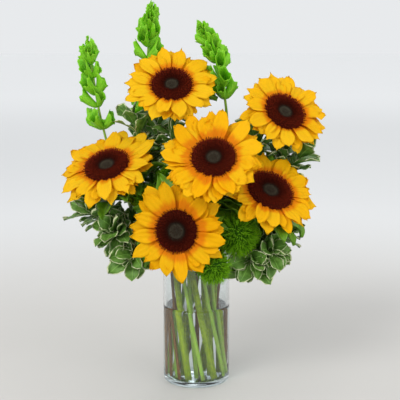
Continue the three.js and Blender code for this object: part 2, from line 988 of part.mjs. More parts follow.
// A ball of three-sided needles, which stand out of a smaller core on all sides.
function dianthusBall(ball, number) {
  const { vary } = DIANTHUS;
  const centre = vector(ball.centre);
  const needles = [];
  for (let k = 0; k < ball.needles; k++) {
    const item = firstItem("needle", number) + k;
    const height = 1 - (2 * (k + 0.5)) / ball.needles;
    const flat = Math.sqrt(1 - height * height);
    const angle = GOLDEN_ANGLE * k;
    const out = new THREE.Vector3(flat * Math.cos(angle), flat * Math.sin(angle), height);
    const stray = new THREE.Vector3(spread(item, 1), spread(item, 2), spread(item, 3));
    out.addScaledVector(stray, vary.direction).normalize();
    const reach = ball.radius * (1 + vary.reach * spread(item, 4));
    const low = ball.radius * DIANTHUS.core - DIANTHUS.sink;
    const make = (part) => needle(centre, out, low, low + (reach - low) * part);
    grow(needles, ball.name, NEEDLE_TRIES, Infinity, make);
  }
  return fuse([pieceNamed(ball.name).solid, ...needles]);
}

function needle(centre, out, low, tip) {
  const place = bladePlace(centre, out, Math.abs(out.z) < 0.9 ? UP : new THREE.Vector3(1, 0, 0));
  const half = DIANTHUS.needleWidth / Math.sqrt(3);
  const foot = [0, 1, 2].map((k) => {
    const angle = (2 * Math.PI * k) / 3;
    return new THREE.Vector3(half * Math.cos(angle), low, half * Math.sin(angle));
  });
  const faces = [
    [0, 1, 2],
    [1, 0, 3],
    [2, 1, 3],
    [0, 2, 3],
  ];
  const corners = [...foot, new THREE.Vector3(0, tip, 0)];
  return solidOf(geometryOfCorners(corners, faces).applyMatrix4(place));
}

// ---------------------------------------------------------------- pittosporum

// Grows the obovate leaf `k` of a shoot, placed round the shoot by the golden angle.
function growLeaf(siblings, name, curve, k, leaves, item) {
  const { vary } = LEAF;
  const along = LEAF.first + ((1 - LEAF.first) * k) / (leaves - 1);
  const t = Math.min(along, LEAF.last);
  const point = curve.getPointAt(t);
  const tangent = curve.getTangentAt(t);
  const sideLean = LEAF.lean - LEAF.leanDrop * along + vary.lean * spread(item, 1);
  const lean = radians(k === leaves - 1 ? LEAF.endLean : sideLean);
  const length = THREE.MathUtils.lerp(...LEAF.length, draw(item, 2));
  const make = (turn, part) => {
    const angle = GOLDEN_ANGLE * (k + LEAF.startTurns * draw(item, 3)) + radians(turn);
    const radial = around(tangent, angle);
    const out = tangent.clone().multiplyScalar(Math.cos(lean)).addScaledVector(radial, Math.sin(lean));
    const upper = tangent.clone().add(UP).addScaledVector(radial, -LEAF.faceInward);
    const form = {
      ...LEAF,
      length: length * part,
      width: length * part * LEAF.slimness,
      tipWidth: 0,
      riseRoot: radians(LEAF.riseRoot),
      riseTip: radians(LEAF.riseTip + vary.rise * spread(item, 4)),
      sway: vary.sway * spread(item, 5),
      twist: radians(vary.twist * spread(item, 6)),
    };
    return bladeSolid(form, bladePlace(point, out, upper));
  };
  grow(siblings, name, LEAF_TRIES, LEAF.sharedRoot, make);
}

// A side shoot leaves its stem between the stem's way and its own, and turns up a little at its tip.

function shootCurve(main, { at, tip }) {
  const start = main.getPointAt(at);
  const end = vector(tip);
  const third = start.distanceTo(end) / 3;
  const straight = end.clone().sub(start).normalize();
  const leave = main.getTangentAt(at).add(straight).normalize();
  const arrive = straight.clone().addScaledVector(UP, SHOOT.upturn).normalize();
  const after = start.clone().addScaledVector(leave, third);
  const before = end.clone().addScaledVector(arrive, -third);
  return new THREE.CubicBezierCurve3(start, after, before, end);
}

function pittosporumArrive({ tip, neck }) {
  return vector(tip).sub(new THREE.Vector3(...neck, NECK_HEIGHT)).normalize();
}

function pittosporumTwigs(plant) {
  const end = vector(plant.tip);
  const arrive = pittosporumArrive(plant);
  const main = freeCurve(plant, end, arrive);
  const shoots = plant.shoots.map((shoot) => {
    const points = shootCurve(main, shoot).getPoints(SHOOT.steps);
    return tube(points, taper(points, SHOOT.foot, SHOOT.top), TWIG.sides);
  });
  return fuse([stem(plant, TWIG, end, arrive), ...shoots]);
}

function pittosporumStem(plant, number) {
  const main = freeCurve(plant, vector(plant.tip), pittosporumArrive(plant));
  const leaves = [];
  const branches = [{ curve: main, count: plant.leaves }];
  plant.shoots.forEach((shoot) => branches.push({ curve: shootCurve(main, shoot), count: shoot.leaves }));
  branches.forEach(({ curve, count }, branch) => {
    for (let k = 0; k < count; k++) {
      const item = firstItem("leaf", number) + LEAF.itemsPerShoot * branch + k;
      growLeaf(leaves, plant.name, curve, k, count, item);
    }
  });
  return fuse([pieceNamed(plant.name).solid, ...leaves]);
}

// ---------------------------------------------------------------- the whole

keep("vase", vase(), MATERIALS.glass);

// First all that carries, so that every repeat finds its way round it.
SUNFLOWERS.forEach((flower, number) => {
  keep(flower.name + "_stem", sunflowerStem(flower, number), MATERIALS.stem);
  keep(flower.name + "_disc", sunflowerDisc(flower), MATERIALS.disc);
  keep(flower.name + "_petals", petalRing(flower), MATERIALS.petals);
});
BELL_SPIKES.forEach((spike) => keep(spike.name, bellStem(spike), MATERIALS.bells));
DIANTHUS_BALLS.forEach((ball) => keep(ball.name, dianthusStem(ball), MATERIALS.dianthus));
PITTOSPORUMS.forEach((plant) => keep(plant.name, pittosporumTwigs(plant), MATERIALS.pittosporum));

// Then petals, cups, needles and leaves.
const finish = (name, solid) => (pieceNamed(name).solid = solid);
SUNFLOWERS.forEach((flower, number) => finish(flower.name + "_petals", sunflowerPetals(flower, number)));
BELL_SPIKES.forEach((spike, number) => finish(spike.name, bellSpike(spike, number)));
DIANTHUS_BALLS.forEach((ball, number) => finish(ball.name, dianthusBall(ball, number)));
PITTOSPORUMS.forEach((plant, number) => finish(plant.name, pittosporumStem(plant, number)));
keep("water", water(waterHoles), MATERIALS.water);

const bouquet = new THREE.Group();
placed.forEach(({ name, solid, material }) => {
  const mesh = new THREE.Mesh(geometryOf(solid), material);
  mesh.name = name;
  bouquet.add(mesh);
});

export default bouquet;
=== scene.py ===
"""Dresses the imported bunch: six sunflowers, three spikes of bells, four green dianthus balls and seven
leafy stems of pittosporum in a clear glass cylinder vase of water.

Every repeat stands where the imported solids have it: the same tables, formulas and seeded draws give the
places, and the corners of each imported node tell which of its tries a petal, cup or leaf took.
Shapes are worked out in millimetres and filled into their meshes in metres.
"""

import functools
import math
from collections import namedtuple

import bpy
import numpy as np
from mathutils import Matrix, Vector
from mathutils.bvhtree import BVHTree


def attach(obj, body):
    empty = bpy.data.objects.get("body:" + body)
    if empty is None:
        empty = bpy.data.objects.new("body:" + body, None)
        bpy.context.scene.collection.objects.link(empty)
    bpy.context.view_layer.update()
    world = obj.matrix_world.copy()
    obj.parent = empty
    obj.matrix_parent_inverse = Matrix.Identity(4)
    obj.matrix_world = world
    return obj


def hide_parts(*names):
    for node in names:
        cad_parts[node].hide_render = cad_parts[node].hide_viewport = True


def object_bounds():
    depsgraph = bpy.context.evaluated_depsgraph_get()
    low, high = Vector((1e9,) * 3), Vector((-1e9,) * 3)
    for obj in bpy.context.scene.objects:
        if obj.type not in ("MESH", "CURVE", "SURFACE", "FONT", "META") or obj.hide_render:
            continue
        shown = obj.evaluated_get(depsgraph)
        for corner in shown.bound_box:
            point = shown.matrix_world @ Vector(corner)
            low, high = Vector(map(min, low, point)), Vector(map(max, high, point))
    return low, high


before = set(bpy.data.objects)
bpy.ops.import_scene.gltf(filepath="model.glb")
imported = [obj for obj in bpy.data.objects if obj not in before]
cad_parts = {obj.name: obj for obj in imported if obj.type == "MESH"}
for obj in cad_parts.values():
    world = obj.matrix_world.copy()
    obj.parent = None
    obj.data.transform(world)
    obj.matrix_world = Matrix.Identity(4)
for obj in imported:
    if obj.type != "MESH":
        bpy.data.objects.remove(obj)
CAD_BOX = [list(corner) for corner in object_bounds()]

bl_info = {
    "name": "Sunflowers in a vase",
    "version": (1, 0, 0),
    "blender": (4, 5, 0),
    "location": "View3D > Sidebar > Bouquet",
    "description": "Builds sunflowers, bells, dianthus and leaves in a glass vase round the packed solids",
    "category": "Object",
}

MM = 0.001
GOLDEN_ANGLE = math.pi * (3 - math.sqrt(5))
UP = np.array([0.0, 0.0, 1.0])
BACK = np.array([0.0, 1.0, 0.0])

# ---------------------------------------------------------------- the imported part's dimensions

VASE_RADIUS = 50
VASE_WALL = 4
VASE_FLOOR = 8
VASE_HEIGHT = 200
VASE_BEVEL = 2
WATER_LEVEL = 118
FOOT_HEIGHT = 8.3
NECK_HEIGHT = 196
STEM_TWIST = math.radians(62)
STEM_SPREAD = 0.95

# A stem's radii from its foot to its end, the faces round it, how deep it is ridged, and the points along
# its free part.
Stem = namedtuple("Stem", "radii sides ridges points", defaults=[0.0, 44])
STRAIGHT_POINTS = 15  # along the part of every stem that stands in the vase
BEND_EASING = 4

# The first item of each kind of repeat, and how many items each plant has. An item has draws of its own.
ITEMS = {
    "petal": (0, 100),
    "lower petal": (50, 100),
    "bract": (1040, 100),
    "bell": (2000, 200),
    "leaf": (5000, 200),
    "floret": (20000, 2000),
    "strand": (40000, 5000),
    "further leaf": (60000, 1000),
    "broad leaf": (70000, 1000),
}
BRANCH_ITEMS = 20
FURTHER_BRANCH_ITEMS = 40
BROAD_LEAF_ITEMS = 50

# `width` is a petal's, and `rise` its angle over the head's plane, `swing` more on the side `swing_at`.
# `lift` and `pull` are the handles of the stem's curve. `pale` is the least paleness of a head's petals and
# `bloom` how far its florets have opened. `short_at` is where its petals stay short, since they'd lie over
# the next disc (degrees on the head).
Sunflower = namedtuple(
    "Sunflower",
    "name centre facing disc head width rise swing swing_at neck lift pull pale bloom short_at",
    defaults=[0.45, 1.0, None],
)
SUNFLOWERS = [
    Sunflower(
        "sunflower_centre", (24.6, -90, 352), (-0.03, -0.77, 0.64), disc=31, head=77, width=16.5,
        rise=12, swing=4, swing_at=180, neck=(10, -14), lift=70, pull=45, pale=0.05, short_at=-34,
    ),
    Sunflower(
        "sunflower_right", (105, -60, 300), (0.3, -0.6, 0.74), disc=34, head=72, width=15.5,
        rise=10, swing=10, swing_at=90, neck=(28, -14), lift=45, pull=40, pale=0.15,
    ),
    Sunflower(
        "sunflower_front", (-26.6, -95, 250), (-0.24, -0.97, 0.11), disc=30, head=73, width=15,
        rise=8, swing=4, swing_at=200, neck=(-10, -34), lift=22, pull=24, pale=0.0, bloom=0.8,
    ),
    Sunflower(
        "sunflower_left", (-129, -30, 332), (-0.21, -0.52, 0.83), disc=33, head=78, width=17,
        rise=2, swing=18, swing_at=10, neck=(-34, -6), lift=50, pull=50,
    ),
    Sunflower(
        "sunflower_top", (-36, 10, 446), (0, -0.72, 0.69), disc=30, head=70, width=15,
        rise=8, swing=8, swing_at=200, neck=(-8, 12), lift=100, pull=60,
    ),
    Sunflower(
        "sunflower_upper_right", (129, 0, 407), (0.32, -0.68, 0.66), disc=31, head=68, width=16,
        rise=10, swing=8, swing_at=60, neck=(28, 10), lift=80, pull=60,
    ),
]
SUNFLOWER_STEM = Stem((4.6, 4.0), 20, 0.025)
LEAF_STALK = Stem((1.4, 1.3, 1.2, 1.0), 8, points=4)
PETALS = 24
PETAL_ROOT = 0.82
PETAL_TIP = 0.2
PETAL_CUP = 0.06
# What a petal tries until it is clear: more rise in degrees, more sway, and the share of its length.
PETAL_TRIES = [
    (0, 0, 1), (7, 0, 1), (-7, 0, 1), (14, 0, 1), (-14, 0, 1), (22, 0.1, 1), (-22, 0.1, 1), (22, -0.1, 1),
    (-22, -0.1, 1), (32, 0, 1), (-32, 0, 1), (44, 0, 1), (0, 0, 0.8), (14, 0, 0.8), (-14, 0, 0.8),
    (30, 0, 0.8), (-30, 0, 0.8), (50, 0, 0.8), (0, 0, 0.62), (40, 0, 0.62),
]
DISC_RADII = np.array([0, 0.36, 0.6, 0.84, 1.0])
DISC_HEIGHTS = np.array([6.4, 6.0, 8.4, 8.2, 4.8])
DISC_SEAT = 1.8
# The cup behind the head: radius over the disc's, and height over the head's plane.
CALYX_CUP = np.array([(0, -18), (0.155, -17), (0.55, -10.8), (0.88, -3.8), (0.86, -1.8)])
CALYX_DEPTH = 15

# A whorl of three cups is (distance from the tip, length of a cup, radius of its mouth). `between` holds the
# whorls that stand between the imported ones.
Spike = namedtuple("Spike", "name tip arrive neck leave lift pull whorls between")
BELL_STEM = Stem((3.2, 1.3), 12, 0.05, points=60)
BELL_TIP_WHORLS = [(6, 11, 4.5), (20, 16, 8), (40, 20, 10)]
BELL_SLANT = math.tan(math.radians(14))
# What a cup tries until it is clear: a turn about the stem in degrees, and the share of its size.
BELL_TRIES = [(0, 1), (18, 1), (-18, 1), (36, 1), (-36, 1), (0, 0.8), (24, 0.8), (-24, 0.8)]
SPIKES = [
    Spike(
        "bells_left", (-163.4, 50, 514), arrive=(-0.12, 0.015, 0.99), neck=(-27, 14),
        leave=(-0.75, 0.2, 0.63), lift=110, pull=200,
        whorls=[(86, 21, 10.5), (104, 21, 10.5), (138, 21, 10.5)],
        between=[(13, 12, 6), (30, 17, 9), (60, 19, 9)],
    ),
    Spike(
        "bells_middle", (-66.7, 70, 566), arrive=(0.104, 0.02, 0.99), neck=(-14, 30),
        leave=(-0.55, 0.2, 0.8), lift=120, pull=200,
        whorls=[(66, 21, 10.5), (86, 21, 10.5), (186, 21, 10.5)],
        between=[
            (13, 12, 6), (30, 17, 9), (53, 20, 10),
            (166, 21, 10), (206, 21, 10), (228, 21, 10), (250, 20, 10),
        ],
    ),
    Spike(
        "bells_right", (2.6, 40, 538), arrive=(-0.52, 0, 0.85), neck=(9, 30),
        leave=(0.39, 0, 0.92), lift=146, pull=100,
        whorls=[(66, 21, 10.5), (104, 21, 10.5), (122, 20, 10)],
        between=[(13, 12, 6), (30, 17, 9), (53, 20, 10), (80, 20, 9)],
    ),
]

# `arrive` is the way along which a stem reaches its ball, here and on the spikes its tip.
Ball = namedtuple("Ball", "name centre arrive radius neck lift pull")
DIANTHUS_STEM = Stem((2.8, 2.2), 12)
DIANTHUS_CORE = 0.68
BALLS = [
    Ball("dianthus_right", (58, -66, 240), (0.55, -0.6, 0.55), 36, neck=(20, -31), lift=22, pull=14),
    Ball("dianthus_front", (24, -88, 197), (0.05, -0.85, -0.5), 28, neck=(6, -40), lift=22, pull=14),
    Ball("dianthus_left", (-66, -34, 284), (-0.5, -0.3, 0.8), 25, neck=(-24, -24), lift=30, pull=20),
    Ball("dianthus_inner", (-38, -22, 312), (-0.2, -0.2, 1), 25, neck=(-14, -8), lift=40, pull=30),
]

# Each shoot leaves its stem at a part of the stem's free length; then come its tip and its packed leaves.
# With no `leave`, a stem goes on straight from the neck.
Shrub = namedtuple("Shrub", "name tip neck leave lift pull leaves shoots")
TWIG = Stem((2.4, 1.2), 10, 0.04)
SHOOT = Stem((1.3, 1.0), 8, points=20)
# What a leaf tries until it is clear: a turn about its twig in degrees, and the share of its length.
LEAF_TRIES = [
    (0, 1), (28, 1), (-28, 1), (56, 1), (-56, 1), (90, 1), (-90, 1), (0, 0.75), (40, 0.75), (-40, 0.75),
    (140, 0.75), (180, 1),
]
SHRUBS = [
    Shrub(
        "pittosporum_left", (-148, -18, 258), neck=(-40, 6), leave=None, lift=24, pull=60, leaves=5,
        shoots=[(0.3, (-90, -44, 204), 4), (0.5, (-116, -38, 236), 4), (0.4, (-122, 10, 244), 4)],
    ),
    Shrub(
        "pittosporum_right", (122, -26, 228), neck=(39, -5), leave=None, lift=20, pull=50, leaves=4,
        shoots=[(0.3, (80, -52, 196), 4), (0.5, (104, -44, 208), 4), (0.4, (112, 10, 216), 3)],
    ),
    Shrub(
        "pittosporum_upper_left", (-92, 14, 388), neck=(-29, 23), leave=(-0.3, 0, 0.95), lift=70, pull=60,
        leaves=4, shoots=[(0.6, (-56, 22, 392), 3), (0.4, (-78, 28, 338), 3)],
    ),
    Shrub(
        "pittosporum_upper_right", (152, 4, 338), neck=(37, 16), leave=(0.3, 0, 0.95), lift=50, pull=60,
        leaves=4, shoots=[(0.5, (88, 16, 366), 3), (0.6, (136, 22, 348), 3)],
    ),
    Shrub(
        "pittosporum_centre", (-34, -8, 372), neck=(0, -2), leave=None, lift=60, pull=50,
        leaves=4, shoots=[(0.4, (22, -28, 306), 3), (0.5, (-24, -46, 340), 3)],
    ),
    Shrub(
        "pittosporum_back_left", (-98, 82, 296), neck=(-24, 33), leave=(-0.3, 0.3, 0.9), lift=40, pull=50,
        leaves=4, shoots=[(0.5, (-44, 100, 320), 4), (0.35, (-80, 78, 236), 3)],
    ),
    Shrub(
        "pittosporum_back_right", (86, 84, 312), neck=(26, 31), leave=(0.3, 0.3, 0.9), lift=40, pull=50,
        leaves=4, shoots=[(0.5, (26, 100, 328), 4), (0.35, (88, 66, 240), 3)],
    ),
]

# ---------------------------------------------------------------- seeded draws, vectors and curves


def draw(item, number):
    """A seeded draw between 0 and 1: the fraction of 43758.5453 sin(12.9898 item + 78.233 number)."""
    wave = np.sin(np.asarray(item) * 12.9898 + number * 78.233) * 43758.5453
    return wave - np.floor(wave)


def spread(item, number):
    """A seeded draw between -1 and 1."""
    return 2 * draw(item, number) - 1


def first_item(kind, plant):
    """The first item of a plant's repeats of one kind."""
    first, count = ITEMS[kind]
    return first + count * plant


def unit(vector):
    """The vector, or each row of vectors, at length 1."""
    vector = np.asarray(vector, float)
    return vector / np.linalg.norm(vector, axis=-1, keepdims=True)


def level(angle):
    """Level directions at these angles from X."""
    return np.stack([np.cos(angle), np.sin(angle), np.zeros(len(angle))], axis=-1)


def around(tangent, angle):
    """A direction square to the tangent: s cos a + (tangent x s) sin a, with s square to the way back too."""
    side = unit(np.cross(tangent, BACK))
    return side * np.cos(angle) + np.cross(tangent, side) * np.sin(angle)


def leant(tangent, radial, lean):
    """The tangent leant by an angle towards a direction square to it."""
    return tangent * math.cos(lean) + radial * math.sin(lean)


def ease(values, times):
    """Draws each inner value halfway to the mean of its two neighbours, so many times."""
    for _ in range(times):
        values[1:-1] = values[1:-1] / 2 + (values[:-2] + values[2:]) / 4


class Bezier:
    """A cubic Bezier curve: (1-t)^3 a + 3 (1-t)^2 t b + 3 (1-t) t^2 c + t^3 d."""

    SPANS = 200

    def __init__(self, *corners):
        self.corners = np.array(corners, float)
        self.t = np.linspace(0, 1, self.SPANS + 1)
        steps = np.linalg.norm(np.diff(self.point(self.t), axis=0), axis=1)
        self.reached = np.concatenate([[0], np.cumsum(steps)])
        self.length = self.reached[-1]

    def point(self, t):
        t = np.asarray(t, float)[..., None]
        a, b, c, d = self.corners
        return (1 - t) ** 3 * a + 3 * (1 - t) ** 2 * t * b + 3 * (1 - t) * t**2 * c + t**3 * d

    def points(self, count):
        return self.point(np.linspace(0, 1, count))

    def tangent(self, t):
        t = np.asarray(t, float)[..., None]
        a, b, c, d = self.corners
        return unit((1 - t) ** 2 * (b - a) + 2 * (1 - t) * t * (c - b) + t**2 * (d - c))

    def at_part(self, part):
        """The point and the tangent where the given part of the curve's length is reached."""
        t = np.interp(np.asarray(part) * self.length, self.reached, self.t)
        return self.point(t), self.tangent(t)

    def branch(self, part, lean, angle):
        """Where a leaf leaves: the point, the tangent, the leaf's side of it, and its way out at a lean."""
        point, tangent = self.at_part(part)
        radial = around(tangent, angle)
        return point, tangent, radial, leant(tangent, radial, lean)


def stem_foot(neck):
    """Where a stem stands on the vase's floor: its neck point turned about the axis and drawn in."""
    x, y = neck
    c, s = math.cos(STEM_TWIST), math.sin(STEM_TWIST)
    return np.array([(x * c - y * s) * STEM_SPREAD, (x * s + y * c) * STEM_SPREAD, FOOT_HEIGHT])


def free_curve(plant, end, arrive):
    """The free part of a stem: a Bezier curve from the neck, along the stem or its bend, to its end."""
    start = np.array([*plant.neck, NECK_HEIGHT], float)
    leave = getattr(plant, "leave", None) or start - stem_foot(plant.neck)
    end = np.asarray(end, float)
    return Bezier(start, start + unit(leave) * plant.lift, end - unit(arrive) * plant.pull, end)


def stem_path(plant, stem, curve):
    """A stem's middle line: straight from its foot to the neck, then its free curve, its bends eased."""
    foot = stem_foot(plant.neck)
    neck = np.array([*plant.neck, NECK_HEIGHT], float)
    slant = unit(neck - foot)
    foot = foot + slant * stem.radii[0] * math.hypot(slant[0], slant[1]) / slant[2]
    straight = foot + (neck - foot) * np.linspace(0, 1, STRAIGHT_POINTS, endpoint=False)[:, None]
    path = np.concatenate([straight, curve.points(stem.points)])
    ease(path, BEND_EASING)
    return path


# ---------------------------------------------------------------- surfaces

# The middle line of a blade: its length, its slope at the root and the tip, its bend aside and its twist.
Blade = namedtuple("Blade", "length rise_root rise_tip sway twist")


def places(roots, outs, uppers):
    """Frames of blades, each 3 x 4: Y the way out, Z the upper side square to it, X = Y x Z, and the root."""
    y = unit(np.atleast_2d(outs))
    upper = np.atleast_2d(uppers)
    z = unit(upper - np.sum(upper * y, axis=-1, keepdims=True) * y)
    return np.stack([np.cross(y, z), y, z, np.broadcast_to(roots, y.shape)], axis=-1)


def carried(frames, local):
    """Local points, an array (pieces, ..., 3), in the row frame."""
    flat = local.reshape(len(frames), -1, 3)
    moved = np.einsum("pij,pnj->pni", frames[:, :, :3], flat) + frames[:, None, :, 3]
    return moved.reshape(local.shape)


def blade_points(frames, blade, t, sideways, raised):
    """Points of blades at the part t of their length.

    The middle line's slope e goes evenly from rise_root to rise_tip (radians), so it lies at
    out = L (sin e - sin e0) / (e1 - e0) and up = L (cos e0 - cos e) / (e1 - e0), and sways by L sway t^2.
    A point stands off it by `sideways` along the across direction and `raised` along the upper one,
    both turned about the line by twist t.
    """
    length, root, tip, sway, twist = (np.asarray(value, float).reshape(-1, 1, 1) for value in blade)
    turn = tip - root
    turn = np.where(np.abs(turn) < 1e-4, 1e-4, turn)
    slope = root + turn * t
    cos_twist, sin_twist = np.cos(twist * t), np.sin(twist * t)
    lift = sideways * sin_twist + raised * cos_twist
    x = length * sway * t**2 + sideways * cos_twist - raised * sin_twist
    y = length * (np.sin(slope) - np.sin(root)) / turn - np.sin(slope) * lift
    z = length * (np.cos(root) - np.cos(slope)) / turn + np.cos(slope) * lift
    return carried(frames, np.stack(np.broadcast_arrays(x, y, z), axis=-1))


def there_and_back(count):
    """From 0 to 1 across a blade's upper side and back below, as the points of a ring lie."""
    there = np.linspace(0, 1, count)
    return np.concatenate([there, there[::-1]])


def blade_grid(across, stations):
    """u from -1 to 1 across and back, then 1 on the upper side and -1 below, and v from 0 to 1 along."""
    u = 2 * there_and_back(across) - 1
    upper = np.repeat([1, -1], across)
    return u[None, None, :], upper[None, None, :], np.linspace(0, 1, stations)[None, :, None]


def circle(sides):
    """The angles of the points of a ring."""
    return 2 * np.pi * np.arange(sides) / sides


def tube_points(path, stem):
    """Rings round a path. They stand square to it, and start from the side square to the path's plane.

    The stem's radii are spread evenly over the path, and each is multiplied by 1 + ridges cos 5a at angle a.
    """
    tangent = unit(np.gradient(path, axis=0))
    reference = np.cross(tangent[0], tangent[-1]) + 1e-3 * np.cross(tangent[0], BACK + 0.1)
    side = unit(reference - (tangent @ reference)[:, None] * tangent)
    other = np.cross(tangent, side)
    angle = circle(stem.sides)
    ring = side[:, None] * np.cos(angle)[:, None] + other[:, None] * np.sin(angle)[:, None]
    radius = np.interp(np.linspace(0, 1, len(path)), np.linspace(0, 1, len(stem.radii)), stem.radii)
    swell = 1 + stem.ridges * np.cos(5 * angle)
    return path[:, None] + ring * (radius[:, None] * swell)[..., None]


def needle_points(frames, radius, along, sides):
    """Rings round the Y axes of frames, by arrays (pieces, rings) of their radii and their places along Y."""
    angle = circle(sides)
    x, z = radius[..., None] * np.sin(angle), radius[..., None] * np.cos(angle)
    return carried(frames, np.stack([x, np.broadcast_to(along[..., None], x.shape), z], axis=-1))


def lathe_points(profile, sides):
    """A profile of (radius, height) carried round Z."""
    radius, height = np.array(profile, float).T
    x = radius[:, None] * np.cos(circle(sides))
    y = radius[:, None] * np.sin(circle(sides))
    return np.stack([x, y, np.broadcast_to(height[:, None], x.shape)], axis=-1)


def arc(centre, radius, start, end, steps=8):
    """Points (radius, height) of an arc round a centre of the profile, by its angles in degrees."""
    angles = np.radians(np.linspace(start, end, steps))
    return [(centre[0] + radius * math.cos(a), centre[1] + radius * math.sin(a)) for a in angles]


def ring_quads(rings, points):
    """The faces between rings that follow each other, as the numbers of their four points."""
    ring, point = np.meshgrid(np.arange(rings - 1), np.arange(points), indexing="ij")
    a = (ring * points + point).ravel()
    b = (ring * points + (point + 1) % points).ravel()
    return np.stack([a, b, b + points, a + points], axis=1)


class Form:
    """Gathers closed surfaces made of rings, and fills them into one mesh in metres."""

    def __init__(self):
        self.corners, self.uvs, self.shades, self.quads, self.tris = [], [], [], [], []
        self.count = 0

    def add(self, rings, across=None, along=None, shade=0.5, slot=0):
        """Adds surfaces (pieces, rings, points, 3) and closes their ends by fans.

        UV is (across, along), by default the part of the points and of the rings passed. `shade` is a number
        that each piece has to itself.
        """
        rings = rings if rings.ndim == 4 else rings[None]
        pieces, m, k, _ = rings.shape
        across = np.linspace(0, 1, k) if across is None else across
        along = np.linspace(0, 1, m) if along is None else along
        ends = [rings[:, :1].mean(axis=2), rings[:, -1:].mean(axis=2)]
        flat = np.concatenate([rings.reshape(pieces, m * k, 3), *ends], axis=1)
        uv = np.stack(np.meshgrid(across, along), axis=-1).reshape(m * k, 2)
        uv = np.concatenate([uv, [[0.5, along[0]], [0.5, along[-1]]]])
        here = np.arange(k)
        after = (here + 1) % k
        last = (m - 1) * k
        start = np.stack([np.full(k, m * k), after, here], axis=1)
        end = np.stack([np.full(k, m * k + 1), last + here, last + after], axis=1)
        own = self.count + np.arange(pieces)[:, None, None] * flat.shape[1]
        self.quads.append(((ring_quads(m, k) + own).reshape(-1, 4), slot))
        self.tris.append(((np.concatenate([start, end]) + own).reshape(-1, 3), slot))
        self.corners.append(flat.reshape(-1, 3))
        self.uvs.append(np.tile(uv, (pieces, 1)))
        self.shades.append(np.repeat(np.broadcast_to(shade, pieces), flat.shape[1]))
        self.count += pieces * flat.shape[1]

    def add_sheets(self, rings, shade, slot=0):
        """Adds blades, whose rings go there on the upper side and back on the lower one."""
        self.add(rings, there_and_back(rings.shape[-2] // 2), shade=shade, slot=slot)

    def add_stem(self, plant, stem, curve, shade):
        """Adds a plant's stem, from its foot in the vase to the end of its free curve."""
        self.add(tube_points(stem_path(plant, stem, curve), stem), shade=shade)

    def piece(self, node, slot, materials, name=None):
        """Fills the mesh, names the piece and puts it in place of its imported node."""
        name = name or node
        quads, tris = (np.concatenate([faces for faces, _ in kind]) for kind in (self.quads, self.tris))
        slots = np.concatenate([np.full(len(faces), number) for faces, number in self.quads + self.tris])
        loops = np.concatenate([quads.ravel(), tris.ravel()])
        starts = np.concatenate([np.arange(len(quads)) * 4, len(quads) * 4 + np.arange(len(tris)) * 3])
        mesh = bpy.data.meshes.new(name)
        mesh.vertices.add(self.count)
        mesh.vertices.foreach_set("co", np.concatenate(self.corners).ravel() * MM)
        mesh.loops.add(len(loops))
        mesh.loops.foreach_set("vertex_index", loops.astype(np.int32))
        mesh.polygons.add(len(starts))
        mesh.polygons.foreach_set("loop_start", starts.astype(np.int32))
        mesh.polygons.foreach_set("material_index", slots.astype(np.int32))
        mesh.polygons.foreach_set("use_smooth", np.ones(len(starts), bool))
        mesh.update(calc_edges=True)
        uv = np.concatenate(self.uvs)[loops]
        mesh.uv_layers.new(name="UVMap").data.foreach_set("uv", uv.ravel().astype(np.float32))
        shade = mesh.attributes.new("shade", "FLOAT", "POINT")
        shade.data.foreach_set("value", np.concatenate(self.shades).astype(np.float32))
        for material in materials:
            mesh.materials.append(material)
        piece = bpy.data.objects.new(name, mesh)
        bpy.context.scene.collection.objects.link(piece)
        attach(piece, "root")
        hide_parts(node)


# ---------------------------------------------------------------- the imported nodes

SAME_CORNER = 0.35  # a packed corner this near a worked-out one is the same corner
PROUD = 8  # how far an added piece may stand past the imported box
LOWEST, HIGHEST = np.array(CAD_BOX) / MM + [[-PROUD], [PROUD]]


def node_corners(name):
    """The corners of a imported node, in millimetres."""
    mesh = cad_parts[name].data
    corners = np.empty(len(mesh.vertices) * 3)
    mesh.vertices.foreach_get("co", corners)
    return corners.reshape(-1, 3) / MM


def chosen_try(corners, candidates):
    """The first candidate, an array (tries, points, 3), whose points are all corners of the node, or None."""
    gaps = np.linalg.norm(candidates[:, :, None] - corners, axis=-1).min(axis=-1).max(axis=-1)
    found = np.flatnonzero(gaps < SAME_CORNER)
    return found[0] if len(found) else None


@functools.cache
def packed_trees():
    """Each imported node's name, the tree of its faces, and its lowest and highest corner."""
    trees = []
    for name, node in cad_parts.items():
        corners = node_corners(name)
        faces = [tuple(polygon.vertices) for polygon in node.data.polygons]
        trees.append((name, BVHTree.FromPolygons(corners.tolist(), faces), corners.min(0), corners.max(0)))
    return trees


def clear(rings, own):
    """Whether the surface of these rings (rings, points, 3) meets no node but `own`, nor leaves the box."""
    low, high = rings.min((0, 1)), rings.max((0, 1))
    if np.any(low < LOWEST) or np.any(high > HIGHEST):
        return False
    tree, faces = None, ring_quads(*rings.shape[:2]).tolist()
    for name, other, other_low, other_high in packed_trees():
        if name in own or np.any(low > other_high) or np.any(high < other_low):
            continue
        tree = tree or BVHTree.FromPolygons(rings.reshape(-1, 3).tolist(), faces)
        if tree.overlap(other):
            return False
    return True


# ---------------------------------------------------------------- materials


class Value:
    """A socket of a material's nodes: + - * on it add the Math nodes, with a number on either side."""

    def __init__(self, finish, socket):
        self.finish, self.socket = finish, socket

    def math(self, operation, *others, swap=False):
        """A Math node of this value and others, the others first if `swap`."""
        values = [*others, self] if swap else [self, *others]
        return self.finish.node("ShaderNodeMath", {"operation": operation}, dict(enumerate(values)))

    def __add__(self, other):
        return self.math("ADD", other)

    def __mul__(self, other):
        return self.math("MULTIPLY", other)

    def __sub__(self, other):
        return self.math("SUBTRACT", other)

    def __rsub__(self, other):
        return self.math("SUBTRACT", other, swap=True)

    __radd__ = __add__
    __rmul__ = __mul__


